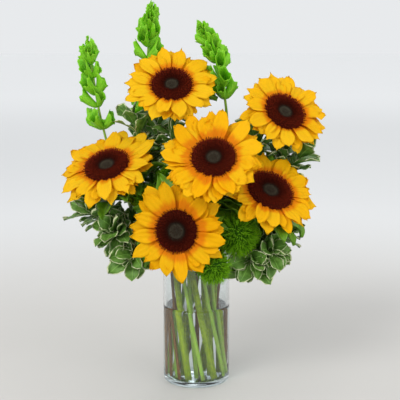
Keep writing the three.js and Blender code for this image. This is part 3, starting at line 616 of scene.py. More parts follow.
class Finish:
    """Makes a material's nodes: `node` makes any of them, and the rest are short for common ones."""

    def __init__(self, name):
        self.material = bpy.data.materials.new(name)
        self.material.use_nodes = True
        self.tree = self.material.node_tree
        self.tree.nodes.clear()

    def node(self, kind, settings=None, inputs=None, output=0):
        """Adds a node. Inputs are numbers, colours or Values, and the setting `stops` fills a colour ramp."""
        made = self.tree.nodes.new(kind)
        for name, value in (settings or {}).items():
            if name == "stops":
                self.set_stops(made.color_ramp, value)
            else:
                setattr(made, name, value)
        for name, value in (inputs or {}).items():
            if isinstance(value, Value):
                self.tree.links.new(value.socket, made.inputs[name])
            else:
                made.inputs[name].default_value = value
        return Value(self, made.outputs[output])

    def set_stops(self, ramp, stops):
        while len(ramp.elements) < len(stops):
            ramp.elements.new(0.5)
        for element, (position, colour) in zip(ramp.elements, stops):
            element.position = position
            element.color = colour

    def parts(self, vector):
        """The three numbers of a vector."""
        first = self.node("ShaderNodeSeparateXYZ", None, {"Vector": vector})
        return [Value(self, socket) for socket in first.socket.node.outputs]

    def uv(self):
        """Across and along of the piece's own map."""
        return self.parts(self.node("ShaderNodeUVMap", {"uv_map": "UVMap"}))[:2]

    def shade(self):
        """The number that each repeat has to itself."""
        return self.node("ShaderNodeAttribute", {"attribute_name": "shade"}, output=2)

    def place(self):
        """The place on the piece, in metres."""
        return self.node("ShaderNodeTexCoord", output=3)

    def noise(self, vector, scale, detail):
        return self.node("ShaderNodeTexNoise", None, {"Vector": vector, "Scale": scale, "Detail": detail})

    def vector(self, x, y, z):
        return self.node("ShaderNodeCombineXYZ", None, {0: x, 1: y, 2: z})

    def band(self, value, low, high):
        """0 below `low`, 1 above `high` and smooth between them; turned round if high < low."""
        inputs = {0: value, 1: low, 2: high, 3: 0.0, 4: 1.0}
        return self.node("ShaderNodeMapRange", {"interpolation_type": "SMOOTHSTEP"}, inputs)

    def mix(self, factor, first, second):
        inputs = {0: factor, 6: first, 7: second}
        return self.node("ShaderNodeMix", {"data_type": "RGBA"}, inputs, output=2)

    def bump(self, height, strength, distance):
        inputs = {"Height": height, "Strength": strength, "Distance": distance}
        return self.node("ShaderNodeBump", None, inputs)

    def principled(self, colour, roughness, normal=None, **more):
        inputs = {"Base Color": colour, "Roughness": roughness}
        inputs.update({name.replace("_", " "): value for name, value in more.items()})
        if normal is not None:
            inputs["Normal"] = normal
        return self.node("ShaderNodeBsdfPrincipled", None, inputs)

    def done(self, shader):
        """The material, with this shader at its output."""
        out = self.tree.nodes.new("ShaderNodeOutputMaterial")
        self.tree.links.new(shader.socket, out.inputs["Surface"])
        return self.material

    def done_mixed(self, share, first, second):
        """The material, with `share` of the second shader over the first at its output."""
        return self.done(self.node("ShaderNodeMixShader", None, {0: share, 1: first, 2: second}))


def rgba(colour, brighter=1.0):
    """A property's colour as four numbers, made brighter or darker."""
    return (*(min(part * brighter, 1.0) for part in colour[:3]), 1.0)


def leafy(made, colour, glow, share, normal, roughness, gloss):
    """A thin leaf's shader: a soft gloss over its colour, and a share of light from behind glows through."""
    body = made.principled(colour, roughness, normal, Specular_IOR_Level=gloss)
    through = made.node("ShaderNodeBsdfTranslucent", None, {"Color": glow, "Normal": normal})
    return made.done_mixed(share, body, through)


def petal_material(settings):
    """Golden yellow with deeper orange near the disc, partly own colour and partly painted shade at the roots,
    and painted shade in the grooves between fine lengthwise veins, along with their own darker streaks.
    """
    made = Finish("petal")
    across, along = made.uv()
    shade = made.shade()
    veins = made.noise(made.vector(across * 9.0, along * 1.6, shade * 40.0), 3.2, 4.0)
    patches = made.noise(made.vector(across * 1.4, along * 1.8, shade * 17.0), 1.6, 2.0)
    root = made.band(along, 0.6, 0.05)
    golden = made.mix(shade, rgba(settings.petal), rgba(settings.petal_pale))
    # Orange near the roots: partly the petals' own colour, partly painted shade where the petals meet the disc.
    root_orange_and_shade = made.band(root + patches * 0.7 - shade * 0.55, 0.28, 0.8)
    colour = made.mix(root_orange_and_shade, golden, rgba(settings.petal_root_and_shade))
    # Darker in the grooves between the veins: painted shade in the creases, along with the petals' own darker
    # streaks.
    groove_shade = made.band(veins, 0.44, 0.3) * 0.25
    colour = made.mix(groove_shade, colour, rgba(settings.petal_root_and_shade, 0.8))
    normal = made.bump(veins, 0.3, 0.0005)
    return leafy(made, colour, rgba(settings.petal), 0.36, normal, veins * 0.2 + 0.5, 0.08)


# By the distance from the disc's middle: how bright the eye's colour is there, then the florets' colour.
EYE_TONES = [(0.0, 0.75), (0.1, 0.6), (0.2, 0.8), (0.27, 1.05), (0.34, 0.4)]
FLORET_TONES = [(0.44, 0.32), (0.6, 0.85), (0.86, 1.25), (1.0, 0.8)]
DEEP_SHADE = (0.004, 0.001, 0.0005, 1.0)


def floret_material(settings):
    """Maroon florets round a grey-green eye; `shade` is a floret's distance from the disc's middle."""
    made = Finish("florets")
    _, along = made.uv()
    distance = made.shade()
    grain = made.noise(made.place(), 900.0, 2.0)
    stops = [(part, rgba(settings.eye, tone)) for part, tone in EYE_TONES]
    stops += [(part, rgba(settings.floret, tone)) for part, tone in FLORET_TONES]
    colour = made.node("ShaderNodeValToRGB", {"stops": stops}, {0: distance})
    deep = made.band(along, 0.75, 0.1) * (0.8 - made.band(distance, 0.8, 1.0) * 0.55)
    colour = made.mix(deep, colour, DEEP_SHADE)
    dust = made.band(grain, 0.45, 0.7) * made.band(along, 0.6, 0.95) * made.band(distance, 0.4, 1.0) * 0.5
    colour = made.mix(dust, colour, rgba(settings.pollen))
    normal = made.bump(grain, 0.6, 0.0006)
    return made.done(made.principled(colour, grain * 0.3 + 0.65, normal, Specular_IOR_Level=0.06))


def green_material(name, colour, pale, streaks, share, roughness):
    """Plant green with streaks along the piece, patches, paler where its shade is high, and a fine nap."""
    made = Finish(name)
    across, along = made.uv()
    shade = made.shade()
    fine = made.noise(made.vector(across * streaks, along * 2.0, shade * 30.0), 2.4, 4.0)
    patch = made.noise(made.place(), 160.0, 3.0)
    nap = made.noise(made.place(), 2600.0, 2.0)
    tone = made.band(fine * 0.6 + patch * 0.5, 0.35, 0.75)
    mixed = made.mix(tone, rgba(colour, 0.7), rgba(pale))
    mixed = made.mix(shade * 0.35, mixed, rgba(pale, 1.15))
    normal = made.bump(fine * 0.6 + nap * 0.4, 0.4, 0.0005)
    return leafy(made, mixed, rgba(pale), share, normal, nap * 0.2 + roughness, 0.2)


def bell_material(settings):
    """Bright yellow-green cups with a net of pale veins and a thin pale rim, and painted shade darkening them
    down inside.
    """
    made = Finish("bell_cups")
    across, along = made.uv()
    turn = across * (2 * math.pi)
    up = along * 3.4 + made.shade() * 20.0
    net_place = made.vector(turn.math("COSINE") * 2.2, turn.math("SINE") * 2.2, up)
    edges = {"feature": "DISTANCE_TO_EDGE"}
    net = made.band(made.node("ShaderNodeTexVoronoi", edges, {"Vector": net_place, "Scale": 2.4}), 0.1, 0.02)
    patch = made.noise(net_place, 1.3, 2.0)
    colour = made.mix(made.band(patch, 0.3, 0.7), rgba(settings.bell), rgba(settings.bell_pale))
    # Painted shade: the inner wall grows darker down inside the cup.
    colour = made.mix(made.band(along, 0.5, 0.8) * 0.85, colour, rgba(settings.bell, 0.3))
    colour = made.mix(net * 0.4, colour, rgba(settings.bell_pale, 1.35))
    rim = made.band(along, 0.44, 0.49) * made.band(along, 0.55, 0.51)
    colour = made.mix(rim * 0.8, colour, rgba(settings.bell_pale, 1.6))
    normal = made.bump(net, 0.35, 0.0005)
    return leafy(made, colour, rgba(settings.bell, 1.25), 0.35, normal, patch * 0.1 + 0.42, 0.4)


def veined_material(name, leaf, flecks, margin_colour, margin_from):
    """A leaf: dark green with paler flecks, a pale midrib and side ribs, and an uneven pale margin."""
    made = Finish(name)
    across, along = made.uv()
    shade = made.shade()
    side = ((across - 0.5) * 2.0).math("ABSOLUTE")
    flow = made.vector(across * 3.0, along * 5.0, shade * 50.0)
    ragged = made.noise(flow, 2.2, 4.0)
    patch = made.noise(flow, 0.9, 2.0)
    dark = made.mix(made.band(patch, 0.35, 0.65), rgba(leaf), rgba(flecks))
    dark = made.mix(shade * 0.5, dark, rgba(flecks))
    edge = side + made.band(along, 0.8, 1.0) * 0.35 + ragged * 0.34
    colour = made.mix(made.band(edge, margin_from, margin_from + 0.07), dark, rgba(margin_colour))
    midrib = made.band(side, 0.07, 0.02)
    colour = made.mix(midrib * 0.7, colour, rgba(flecks, 1.9))
    ribs = (along * 9.0 + side * 2.6).math("FRACT")
    rib = made.band(ribs, 0.1, 0.0) * made.band(side, 0.95, 0.6) * 0.3
    colour = made.mix(rib, colour, rgba(flecks, 1.4))
    normal = made.bump(midrib * 0.7 + rib + ragged * 0.3, 0.5, 0.0006)
    return leafy(made, colour, rgba(flecks), 0.15, normal, ragged * 0.15 + 0.32, 0.3)


def bark_material(settings):
    """Brown-green twig with lengthwise cracks, knots and paler dots."""
    made = Finish("twig_bark")
    across, along = made.uv()
    cracks = made.noise(made.vector(across * 6.0, along * 5.0, made.shade() * 9.0), 4.0, 5.0)
    dots = made.noise(made.place(), 700.0, 1.0)
    colour = made.mix(made.band(cracks, 0.3, 0.7), rgba(settings.bark, 0.55), rgba(settings.bark))
    colour = made.mix(made.band(dots, 0.62, 0.7) * 0.5, colour, rgba(settings.bark, 1.9))
    colour = made.mix(made.band(along, 0.5, 1.0) * 0.6, colour, rgba(settings.leaf_grey))
    normal = made.bump(cracks, 0.6, 0.0008)
    return made.done(made.principled(colour, cracks * 0.2 + 0.6, normal, Specular_IOR_Level=0.1))


def dianthus_material(settings):
    """Strands deep green at the root and yellow-green at the tip, each a little different; towards the root,
    inside the ball, they are darkened further by painted shade.
    """
    made = Finish("dianthus_strands")
    _, along = made.uv()
    shade = made.shade()
    patch = made.noise(made.place(), 90.0, 2.0)
    tone = made.band(along * 0.75 + shade * 0.35 + patch * 0.3, 0.35, 1.05)
    colour = made.mix(tone, rgba(settings.dianthus), rgba(settings.dianthus_pale))
    # Painted shade: the strands grow much darker towards their roots, inside the ball.
    colour = made.mix(made.band(along, 0.45, 0.0), colour, rgba(settings.dianthus, 0.35))
    normal = made.bump(patch, 0.1, 0.0005)
    return leafy(made, colour, rgba(settings.dianthus_pale, 0.6), 0.3, normal, shade * 0.2 + 0.6, 0.1)


def see_through(made, tint, **inputs):
    """A clear shader for all that sees the piece, and a plain tinted pass for the lamps' own light."""
    clear_shader = made.principled(**inputs, Transmission_Weight=1.0)
    lamp_light = made.node("ShaderNodeLightPath", output=1)
    plain = made.node("ShaderNodeBsdfTransparent", None, {"Color": tint})
    return made.done_mixed(lamp_light, clear_shader, plain)


def glass_material(settings):
    """Clear glass, a little wavy, with faint smears in its gloss and a deeper tint in its thick foot."""
    made = Finish("clear_glass")
    smears = made.noise(made.place(), 40.0, 3.0)
    waves = made.noise(made.place(), 25.0, 1.0)
    _, _, height = made.parts(made.place())
    foot = made.band(height, 0.012, 0.006)
    return see_through(
        made,
        rgba(settings.glass, 0.97),
        colour=made.mix(foot, rgba(settings.glass), rgba(settings.glass_foot)),
        roughness=made.band(smears, 0.62, 0.85) * 0.04,
        normal=made.bump(waves, 0.05, 0.002),
        IOR=1.5,
    )


def water_material(settings):
    """Clear water with a still surface that ripples a little where stems break it."""
    made = Finish("clear_water")
    ripples = made.bump(made.noise(made.place(), 60.0, 1.0), 0.04, 0.002)
    tint = rgba(settings.water)
    return see_through(made, tint, colour=tint, roughness=0.0, normal=ripples, IOR=1.33)


def floor_material(settings):
    """A pale matt floor with a hardly seen mottle; it is painted paler away from the vase as painted light,
    making up for the lamps' light that falls off there, until it is as pale as the room.
    """
    made = Finish("pale_floor")
    place = made.place()
    mottle = made.noise(place, 6.0, 4.0)
    distance = made.node("ShaderNodeVectorMath", {"operation": "LENGTH"}, {0: place}, output=1)
    tone = made.mix(mottle, rgba(settings.floor, 0.97), rgba(settings.floor, 1.02))
    # Painted light: the floor grows paler with distance from the vase, where the lamps' light falls off.
    tone = made.mix(made.band(distance, 0.3, 1.5), tone, rgba(settings.floor_middle))
    tone = made.mix(made.band(distance, 1.5, 6.0), tone, rgba(settings.floor_far))
    return made.done(made.principled(tone, mottle * 0.1 + 0.7, Specular_IOR_Level=0.1))


# ---------------------------------------------------------------- properties


def length_property(name, description, millimetres):
    return bpy.props.FloatProperty(
        name=name, description=description, default=millimetres * MM, unit="LENGTH", precision=4
    )


def share_property(name, description, default):
    return bpy.props.FloatProperty(
        name=name, description=description, default=default, subtype="FACTOR", max=2
    )


def count_property(name, description, default):
    return bpy.props.IntProperty(name=name, description=description, default=default, min=1)


def colour_property(name, description, *colour):
    return bpy.props.FloatVectorProperty(
        name=name, description=description, default=colour, subtype="COLOR", size=3, min=0.0, max=1.0
    )


class SunflowerSettings(bpy.types.PropertyGroup):
    """Sizes and colours of the sunflowers."""

    petal_fullness: share_property("Petal fullness", "Widest part of a petal over its packed width", 1.42)
    petal_thickness: length_property("Petal thickness", "Thickness of a petal at its middle", 0.4)
    petal_fold: length_property("Petal fold", "Depth of the grooves along a petal", 0.5)
    petal_curl: length_property("Petal curl", "How far a petal's edges wave", 1.5)
    florets: count_property("Florets", "Florets of one disc", 720)
    bracts: count_property("Bracts", "Bracts of one calyx", 22)
    stem_leaves: count_property("Stem leaves", "Broad leaves of one stem", 15)
    petal: colour_property("Petal", "Golden yellow of the petals", 0.92, 0.505, 0.0)
    petal_pale: colour_property("Pale petal", "Clearer yellow of some petals", 0.93, 0.625, 0.012)
    # Orange near the disc: partly the petals' own colour and partly painted shade at their roots; at 0.8 it is
    # also the painted shade in the grooves.
    petal_root_and_shade: colour_property("Petal root", "Orange near the disc", 0.82, 0.26, 0.003)
    floret: colour_property("Floret", "Maroon of the open florets", 0.16, 0.0145, 0.0045)
    eye: colour_property("Eye", "Grey-green of the closed florets", 0.063, 0.052, 0.034)
    pollen: colour_property("Pollen", "Dust on the floret tips", 0.42, 0.12, 0.02)
    stem: colour_property("Stem", "Green of the stems", 0.12, 0.21, 0.0)
    stem_pale: colour_property("Pale stem", "Paler streaks of the stems", 0.32, 0.42, 0.0)
    bract: colour_property("Bract", "Green of the bracts", 0.06, 0.17, 0.01)
    leaf: colour_property("Leaf", "Green of the broad leaves", 0.07, 0.18, 0.006)
    leaf_pale: colour_property("Pale leaf", "Paler patches of the broad leaves", 0.17, 0.37, 0.02)


class FillerSettings(bpy.types.PropertyGroup):
    """Sizes and colours of bells, dianthus and pittosporum."""

    bell_wall: length_property("Bell wall", "Thickness of a bell's wall", 0.35)
    bell_height: share_property("Bell height", "Height of a bell over its packed height", 1.2)
    bell_width: share_property("Bell width", "Width of a bell over its packed width", 0.66)
    bell_upright: share_property("Bell lean", "Lean of a bell over its packed lean", 0.72)
    strands: count_property("Strands", "Strands of a dianthus ball 60 mm across", 1250)
    strand_width: length_property("Strand width", "Width of a dianthus strand at its root", 1.5)
    leaf_thickness: length_property("Leaf thickness", "Thickness of a pittosporum leaf", 0.45)
    more_leaves: count_property("More leaves", "Leaves of a shoot besides the packed ones", 24)
    bell: colour_property("Bell", "Green of the bells", 0.175, 0.56, 0.004)
    bell_pale: colour_property("Pale bell", "Yellow-green of the bells", 0.34, 0.77, 0.03)
    bell_stem: colour_property("Bell stem", "Pale green of the square stems", 0.36, 0.46, 0.07)
    dianthus: colour_property("Dianthus", "Deep green of the strands", 0.056, 0.24, 0.001)
    dianthus_pale: colour_property("Pale dianthus", "Yellow-green tips", 0.31, 0.68, 0.018)
    leaf: colour_property("Leaf", "Dark green of the leaves", 0.055, 0.15, 0.012)
    leaf_grey: colour_property("Leaf flecks", "Grey-green flecks of the leaves", 0.16, 0.32, 0.055)
    leaf_margin: colour_property("Leaf margin", "Cream margin of the leaves", 0.7, 0.76, 0.42)
    bark: colour_property("Bark", "Brown of the woody twigs", 0.2, 0.085, 0.008)


class VaseSettings(bpy.types.PropertyGroup):
    """Sizes and colours of the vase and its water."""

    sides: count_property("Sides", "Faces round the vase", 128)
    overlap: length_property("Water overlap", "How far the water reaches into the glass", 0.15)
    meniscus: length_property("Meniscus", "How high the water climbs the glass", 0.4)
    glass: colour_property("Glass", "Tint of the glass", 0.92, 0.957, 0.96)
    glass_foot: colour_property("Glass foot", "Tint of the thick foot", 0.74, 0.84, 0.87)
    water: colour_property("Water", "Tint of the water", 0.97, 0.99, 0.985)


class StageSettings(bpy.types.PropertyGroup):
    """Camera and floor."""

    camera_x: length_property("Camera X", "Camera to the right of the vase's axis", 5.6)
    camera_distance: length_property("Camera distance", "Camera in front of the vase's axis", 1500)
    camera_height: length_property("Camera height", "Camera over the floor", 546)
    camera_tilt: bpy.props.FloatProperty(
        name="Camera tilt", description="Tilt below level", default=math.radians(10.16), subtype="ANGLE"
    )
    camera_lens: bpy.props.FloatProperty(
        name="Lens", description="Focal length on a sensor of 36 mm", default=92.13, subtype="DISTANCE_CAMERA"
    )
    floor_radius: length_property("Floor radius", "Radius of the round floor", 14000)
    floor: colour_property("Floor", "Tone of the floor under the vase", 0.58, 0.565, 0.54)
    # The middle and far tones are painted light, paler where the lamps' light falls off.
    floor_middle: colour_property("Middle floor", "Tone of the floor a metre off", 0.72, 0.725, 0.725)
    floor_far: colour_property("Far floor", "Tone of the floor away from the vase", 0.985, 0.99, 0.99)


# ---------------------------------------------------------------- sunflowers

# The points across a blade and the stations along it.
PETAL_GRID = (13, 21)
BRACT_GRID = (7, 15)
BROAD_LEAF_GRID = (9, 25)
BROAD_LEAF_TRIES = 12
BRACT_RING = 0.58
CALYX_RINGS = 17
CALYX_SIDES = 40
CALYX_EASING = 2
BED_RINGS = 18
BED_SIDES = 64
BED_DEPTH = 2.6
FLORET_DEPTH = 2.9
FLORET_SIDES = 6

# By the distance from the disc's middle: a floret's length, its lean outwards in degrees, and its girth.
FLORET_LENGTH = ([0, 0.3, 0.42, 0.7, 0.9, 1], [1.6, 2.0, 3.0, 4.0, 4.8, 4.9])
FLORET_LEAN = ([0, 0.35, 0.6, 0.85, 1], [-14, -30, 8, 30, 66])
FLORET_GIRTH = ([0, 0.35, 0.5, 1], [0.95, 0.95, 0.75, 0.62])
# The rings of a floret: the part passed, and the radius there of a closed bud and of an open floret.
FLORET_RINGS = np.array([0, 0.3, 0.62, 0.82, 0.95, 1.0])
FLORET_CLOSED = np.array([0.7, 1.0, 0.95, 0.7, 0.4, 0.12])
FLORET_OPEN = np.array([0.6, 0.75, 0.6, 0.75, 0.5, 0.1])

# The petals of a head, with an array for each field; `rise` and `bend` are in degrees.
Petals = namedtuple("Petals", "azimuth height width length rise bend sway twist")


def head_frame(flower):
    """The head's frame, 3 x 4: Z faces out of the disc, X lies level to the right."""
    z = unit(flower.facing)
    x = unit(np.cross(UP, z))
    return np.stack([x, np.cross(z, x), z, np.array(flower.centre, float)], axis=-1)


def on_head(flower, roots, outs, uppers):
    """Frames of blades in the row, from roots and directions in the head's own frame."""
    head = head_frame(flower)
    turn = head[:, :3].T
    return places(roots @ turn + head[:, 3], outs @ turn, uppers @ turn)


def round_head(flower, azimuth, radius, height):
    """Frames of blades that stand round the head, at azimuths, a radius and heights over the head's plane."""
    outs = level(azimuth)
    return on_head(flower, outs * radius + UP * height[:, None], outs, UP)


def turned_on_head(flower, profile, sides):
    """A profile of (radius, height) carried round the head's axis."""
    return carried(head_frame(flower)[None], lathe_points(profile, sides)[None])


def untried_petals(flower, number):
    """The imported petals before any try, from the same draws."""
    k = np.arange(PETALS)
    item = first_item("petal", number) + k
    layer = k % 2
    azimuth = 2 * np.pi * (k + 0.32 * spread(item, 1)) / PETALS
    swing = flower.swing * np.cos(azimuth - math.radians(flower.swing_at))
    full = (flower.head - flower.disc * PETAL_ROOT) * np.where(layer, 0.94, 1)
    return Petals(
        azimuth=azimuth,
        height=np.where(layer, 0.85, -0.85),
        width=flower.width * (1 + 0.12 * spread(item, 4)),
        length=full * (1 + 0.11 * spread(item, 3)),
        rise=flower.rise + swing + np.where(layer, 9, -5) + 4 * spread(item, 2),
        bend=-8 + 12 * spread(item, 5),
        sway=0.1 * spread(item, 6),
        twist=np.radians(14 * spread(item, 7)),
    )


def petal_blades(petals, lift=0.0, side=0.0, part=1.0):
    """The middle lines of petals after a try: more rise in degrees, more sway, and a share of the length."""
    rise_root = np.radians(np.maximum(petals.rise + lift / 2, 0))
    rise_tip = np.radians(petals.rise + petals.bend + lift)
    return Blade(petals.length * part, rise_root, rise_tip, petals.sway + side, petals.twist)


def petal_frames(flower, petals):
    """Frames of petals on their circle under the disc's edge."""
    return round_head(flower, petals.azimuth, flower.disc * PETAL_ROOT, petals.height)


def packed_petals(flower, number):
    """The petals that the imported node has, their middle lines by the try of each, and their numbers."""
    petals = untried_petals(flower, number)
    frames = petal_frames(flower, petals)
    corners = node_corners(flower.name + "_petals")
    width = (PETAL_TIP * petals.width)[:, None, None]
    tips = []
    for attempt in PETAL_TRIES:
        blades = petal_blades(petals, *attempt)
        tips.append(blade_points(frames, blades, 1.0, width * np.array([-0.5, 0.5]), PETAL_CUP * width)[:, 0])
    found = [chosen_try(corners, np.array(tips)[:, k]) for k in range(PETALS)]
    rows = np.array([k for k in range(PETALS) if found[k] is not None])
    tries = np.array([PETAL_TRIES[found[k]] for k in rows], float)
    chosen = Petals(*(values[rows] for values in petals))
    return chosen, petal_blades(chosen, *tries.T), rows


def lower_petals(flower, number):
    """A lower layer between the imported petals: shorter, narrower and bent further back."""
    k = np.arange(PETALS)
    item = first_item("lower petal", number) + k
    packed = untried_petals(flower, number)
    return packed._replace(
        azimuth=2 * np.pi * (k + 0.5 + 0.25 * spread(item, 1)) / PETALS,
        height=np.full(PETALS, -1.2),
        width=packed.width * 0.8,
        length=(flower.head - flower.disc * PETAL_ROOT) * (0.82 + 0.14 * spread(item, 3)),
        rise=packed.rise.mean() - 6 + 8 * spread(item, 2),
        sway=0.14 * spread(item, 6),
    )


def shortened(flower, petals, blades):
    """The middle lines, up to a quarter shorter near `short_at`: by 0.25 max(cos a, 0)^6."""
    if flower.short_at is None:
        return blades
    near = np.maximum(np.cos(petals.azimuth - math.radians(flower.short_at)), 0)
    return blades._replace(length=blades.length * (1 - 0.25 * near**6))


def petal_surfaces(flower, petals, blades, item, settings):
    """Petals as closed rings.

    With u from -1 to 1 across and v from 0 to 1 along, the half width is
    w/2 (0.42 + 0.58 sin(pi/2 min(2 v, 1))) (1 - c max(2 v - 1, 0)^n), with c 0.58 to 0.9 and n 1.8 to 3.4.
    The end is cut back by 0.09 u^2 and by a cosine notch, both times v^5.
    The surface is raised by a cup w u^2, by grooves cos(3 pi u), by waves of the edge, and by a curl of
    the tip; one petal in a few folds up along its middle by w |u| times the cube of its draw.
    """

    def own(number):
        return spread(item, number)[:, None, None]

    u, upper, v = blade_grid(*PETAL_GRID)
    width = petals.width[:, None, None] * settings.petal_fullness
    taper = (0.74 + 0.16 * own(20)) * np.maximum(2 * v - 1, 0) ** (2.6 + 0.8 * own(19))
    half = width / 2 * (0.42 + 0.58 * np.sin(np.pi / 2 * np.minimum(2 * v, 1))) * (1 - taper)
    notch = 0.03 * (1 + np.cos(np.pi * ((1.7 + own(21)) * u + own(22))))
    t = v * (1 - (0.09 * u**2 * (1 + 0.7 * own(23)) + notch) * v**5)
    fold = settings.petal_fold / MM * (1 + 0.5 * own(24))
    curl = settings.petal_curl / MM
    groove = fold * np.cos(3 * np.pi * u) * np.sin(np.pi * np.minimum(v * 1.1, 1)) ** 0.7
    folded = 0.3 * np.abs(own(30)) ** 3 * np.abs(u) ** 1.3 * np.sin(np.pi * np.minimum(1.3 * v, 1))
    cup = width * (u**2 * (0.03 + 0.06 * own(25) * v) + folded)
    wave = curl * np.abs(u) ** 2 * u * v * np.sin(2 * np.pi * (1.1 + 0.5 * own(26)) * v + 3 * own(27))
    flutter = curl * u**2 * v * np.sin(2 * np.pi * 1.6 * v + 3 * own(28))
    tip = width * 0.15 * own(29) * np.maximum((v - 0.6) / 0.4, 0) ** 2
    thin = settings.petal_thickness / MM * (0.35 + 0.65 * (1 - u**2)) * (1 - 0.5 * v)
    raised = groove + cup + wave + flutter + tip + upper * thin / 2
    blades = shortened(flower, petals, blades)
    return blade_points(petal_frames(flower, petals), blades, t, half * u, raised)


def sunflower_petals(flower, number, settings, material):
    """All petals of a head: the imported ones, and lower ones where they cut through no other piece."""
    head = Form()
    petals, blades, rows = packed_petals(flower, number)
    item = first_item("petal", number) + rows
    rings = petal_surfaces(flower, petals, blades, item, settings)
    head.add_sheets(rings, flower.pale + 0.55 * draw(item, 31))
    petals = lower_petals(flower, number)
    item = first_item("lower petal", number) + np.arange(PETALS)
    rings = petal_surfaces(flower, petals, petal_blades(petals), item, settings)
    own = [flower.name + part for part in ("_petals", "_disc", "_stem")]
    free = np.array([clear(petal, own) for petal in rings])
    # The lower petals get lower shade numbers, so they come out deeper orange and less pale: painted shade
    # under the upper petals.
    head.add_sheets(rings[free], flower.pale * 0.5 + 0.25 * draw(item, 31)[free])
    head.piece(flower.name + "_petals", "petals", [material])


def disc_bed(flower):
    """The bed of the florets: a dome with a sunken eye, closed below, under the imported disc's face."""
    part = np.concatenate([[0.9], np.linspace(1.0, 0.0, BED_RINGS)[:-1] ** 0.8])
    height = np.maximum(np.interp(part, DISC_RADII, DISC_HEIGHTS) - BED_DEPTH, DISC_SEAT)
    height[0] = DISC_SEAT
    return turned_on_head(flower, np.stack([part * flower.disc, height], axis=1), BED_SIDES)


def florets(flower, number, settings):
    """Florets on the disc in the golden-angle spiral, radius R sqrt((n + 1/2) / N), and the shade of each.

    Each is a six-sided bud: its radius follows a profile, and it leans outwards, the outer ones most.
    """
    n = np.arange(settings.florets)
    item = first_item("floret", number) + n
    part = np.sqrt((n + 0.5) / len(n))
    out = level(GOLDEN_ANGLE * n)
    height = np.interp(part, DISC_RADII, DISC_HEIGHTS) - FLORET_DEPTH
    length = np.interp(part, *FLORET_LENGTH) * (1 + 0.22 * spread(item, 1))
    lean = np.radians(np.interp(part, *FLORET_LEAN) + 12 * spread(item, 2))[:, None]
    axis = unit(out * np.sin(lean) + UP * np.cos(lean) + np.cross(UP, out) * spread(item, 3)[:, None] * 0.3)
    roots = out * (part * flower.disc * 0.97)[:, None] + UP * height[:, None]
    girth = flower.disc / math.sqrt(len(n)) * np.interp(part, *FLORET_GIRTH)
    opened = np.clip((part - 0.4) / 0.15, 0, 1)[:, None]
    radius = (FLORET_CLOSED * (1 - opened) + FLORET_OPEN * opened) * girth[:, None]
    frames = on_head(flower, roots, axis, out)
    return needle_points(frames, radius, FLORET_RINGS * length[:, None], FLORET_SIDES), part * flower.bloom


def sunflower_disc(flower, number, settings, material):
    """The disc: its bed with every floret, told apart by their distance from the middle."""
    disc = Form()
    bed = disc_bed(flower)
    disc.add(bed, along=np.zeros(bed.shape[1]), shade=0.7)
    buds, shade = florets(flower, number, settings)
    disc.add(buds, shade=shade)
    disc.piece(flower.name + "_disc", "disc", [material])


def bracts(flower, number, settings):
    """Pointed bracts behind the head, in two rows, and the shade of each.

    Half width: w/2 (0.5 + 0.5 sin(pi v^0.7)) (1 - v^3)^0.8; the edges fold up by 0.12 w u^2, and grooves
    cos(4 pi u) fade towards the tip.
    """
    k = np.arange(settings.bracts)
    row = k % 2
    item = first_item("bract", number) + k
    blades = Blade(
        length=(29 - 5 * row) * (1 + 0.12 * spread(item, 1)),
        rise_root=np.radians(-34 + 4 * row),
        rise_tip=np.radians(2 + 12 * spread(item, 2) - 6 * row),
        sway=0.14 * spread(item, 3),
        twist=0.3 * spread(item, 5),
    )
    azimuth = 2 * np.pi * (k + 0.3 * spread(item, 4)) / len(k)
    frames = round_head(flower, azimuth, flower.disc * BRACT_RING, -4.2 - 1.2 * row)
    u, upper, v = blade_grid(*BRACT_GRID)
    width = (11.5 * (1 + 0.15 * spread(item, 6)))[:, None, None]
    half = width / 2 * (0.5 + 0.5 * np.sin(np.pi * v**0.7)) * (1 - v**3) ** 0.8 + 0.05
    raised = 0.12 * width * u**2 + 0.35 * np.cos(4 * np.pi * u) * (1 - v) + upper * 0.3 * (1 - 0.6 * v)
    return blade_points(frames, blades, v, half * u, raised), draw(item, 9)


def calyx_cup(flower):
    """The cup behind the head: its outline's corners are rounded by easing the radii."""
    stations = np.linspace(0, len(CALYX_CUP) - 1, CALYX_RINGS)
    radius, height = (np.interp(stations, np.arange(len(CALYX_CUP)), column) for column in CALYX_CUP.T)
    ease(radius, CALYX_EASING)
    return turned_on_head(flower, np.stack([radius * flower.disc, height], axis=1)[1:], CALYX_SIDES)


def broad_leaf(curve, item):
    """A heart-shaped leaf of a sunflower's stem: its stalk's path and its rings.

    Half width: w/2 sin(pi v^0.6)^0.8 (1 - 0.25 v), toothed by 5 %; it arches down and folds along its midrib.
    """
    lean = math.radians(62 + 18 * spread(item, 3))
    angle = 2 * math.pi * draw(item, 2)
    point, tangent, radial, out = curve.branch(0.12 + 0.76 * draw(item, 1), lean, angle)
    root = point + out * (14 + 8 * draw(item, 4))
    blade = Blade(
        length=50 + 20 * draw(item, 5),
        rise_root=math.radians(14),
        rise_tip=math.radians(-46 + 20 * spread(item, 6)),
        sway=0.12 * spread(item, 7),
        twist=0.5 * spread(item, 8),
    )
    u, upper, v = blade_grid(*BROAD_LEAF_GRID)
    width = 0.68 * blade.length
    teeth = 1 + 0.05 * np.abs(np.sin(9 * np.pi * v)) * np.abs(u)
    half = width / 2 * np.maximum(np.sin(np.pi * v**0.6), 0) ** 0.8 * (1 - 0.25 * v) * teeth + 0.5
    wave = 0.05 * width * u**2 * np.sin(2 * np.pi * 2.6 * v + 3 * spread(item, 9) + np.sign(u))
    raised = 0.12 * width * np.abs(u) ** 1.2 + wave + upper * 0.2
    frame_of = places(root, out, tangent + UP - 0.3 * radial)
    return np.linspace(point, root, LEAF_STALK.points), blade_points(frame_of, blade, v, half * u, raised)[0]


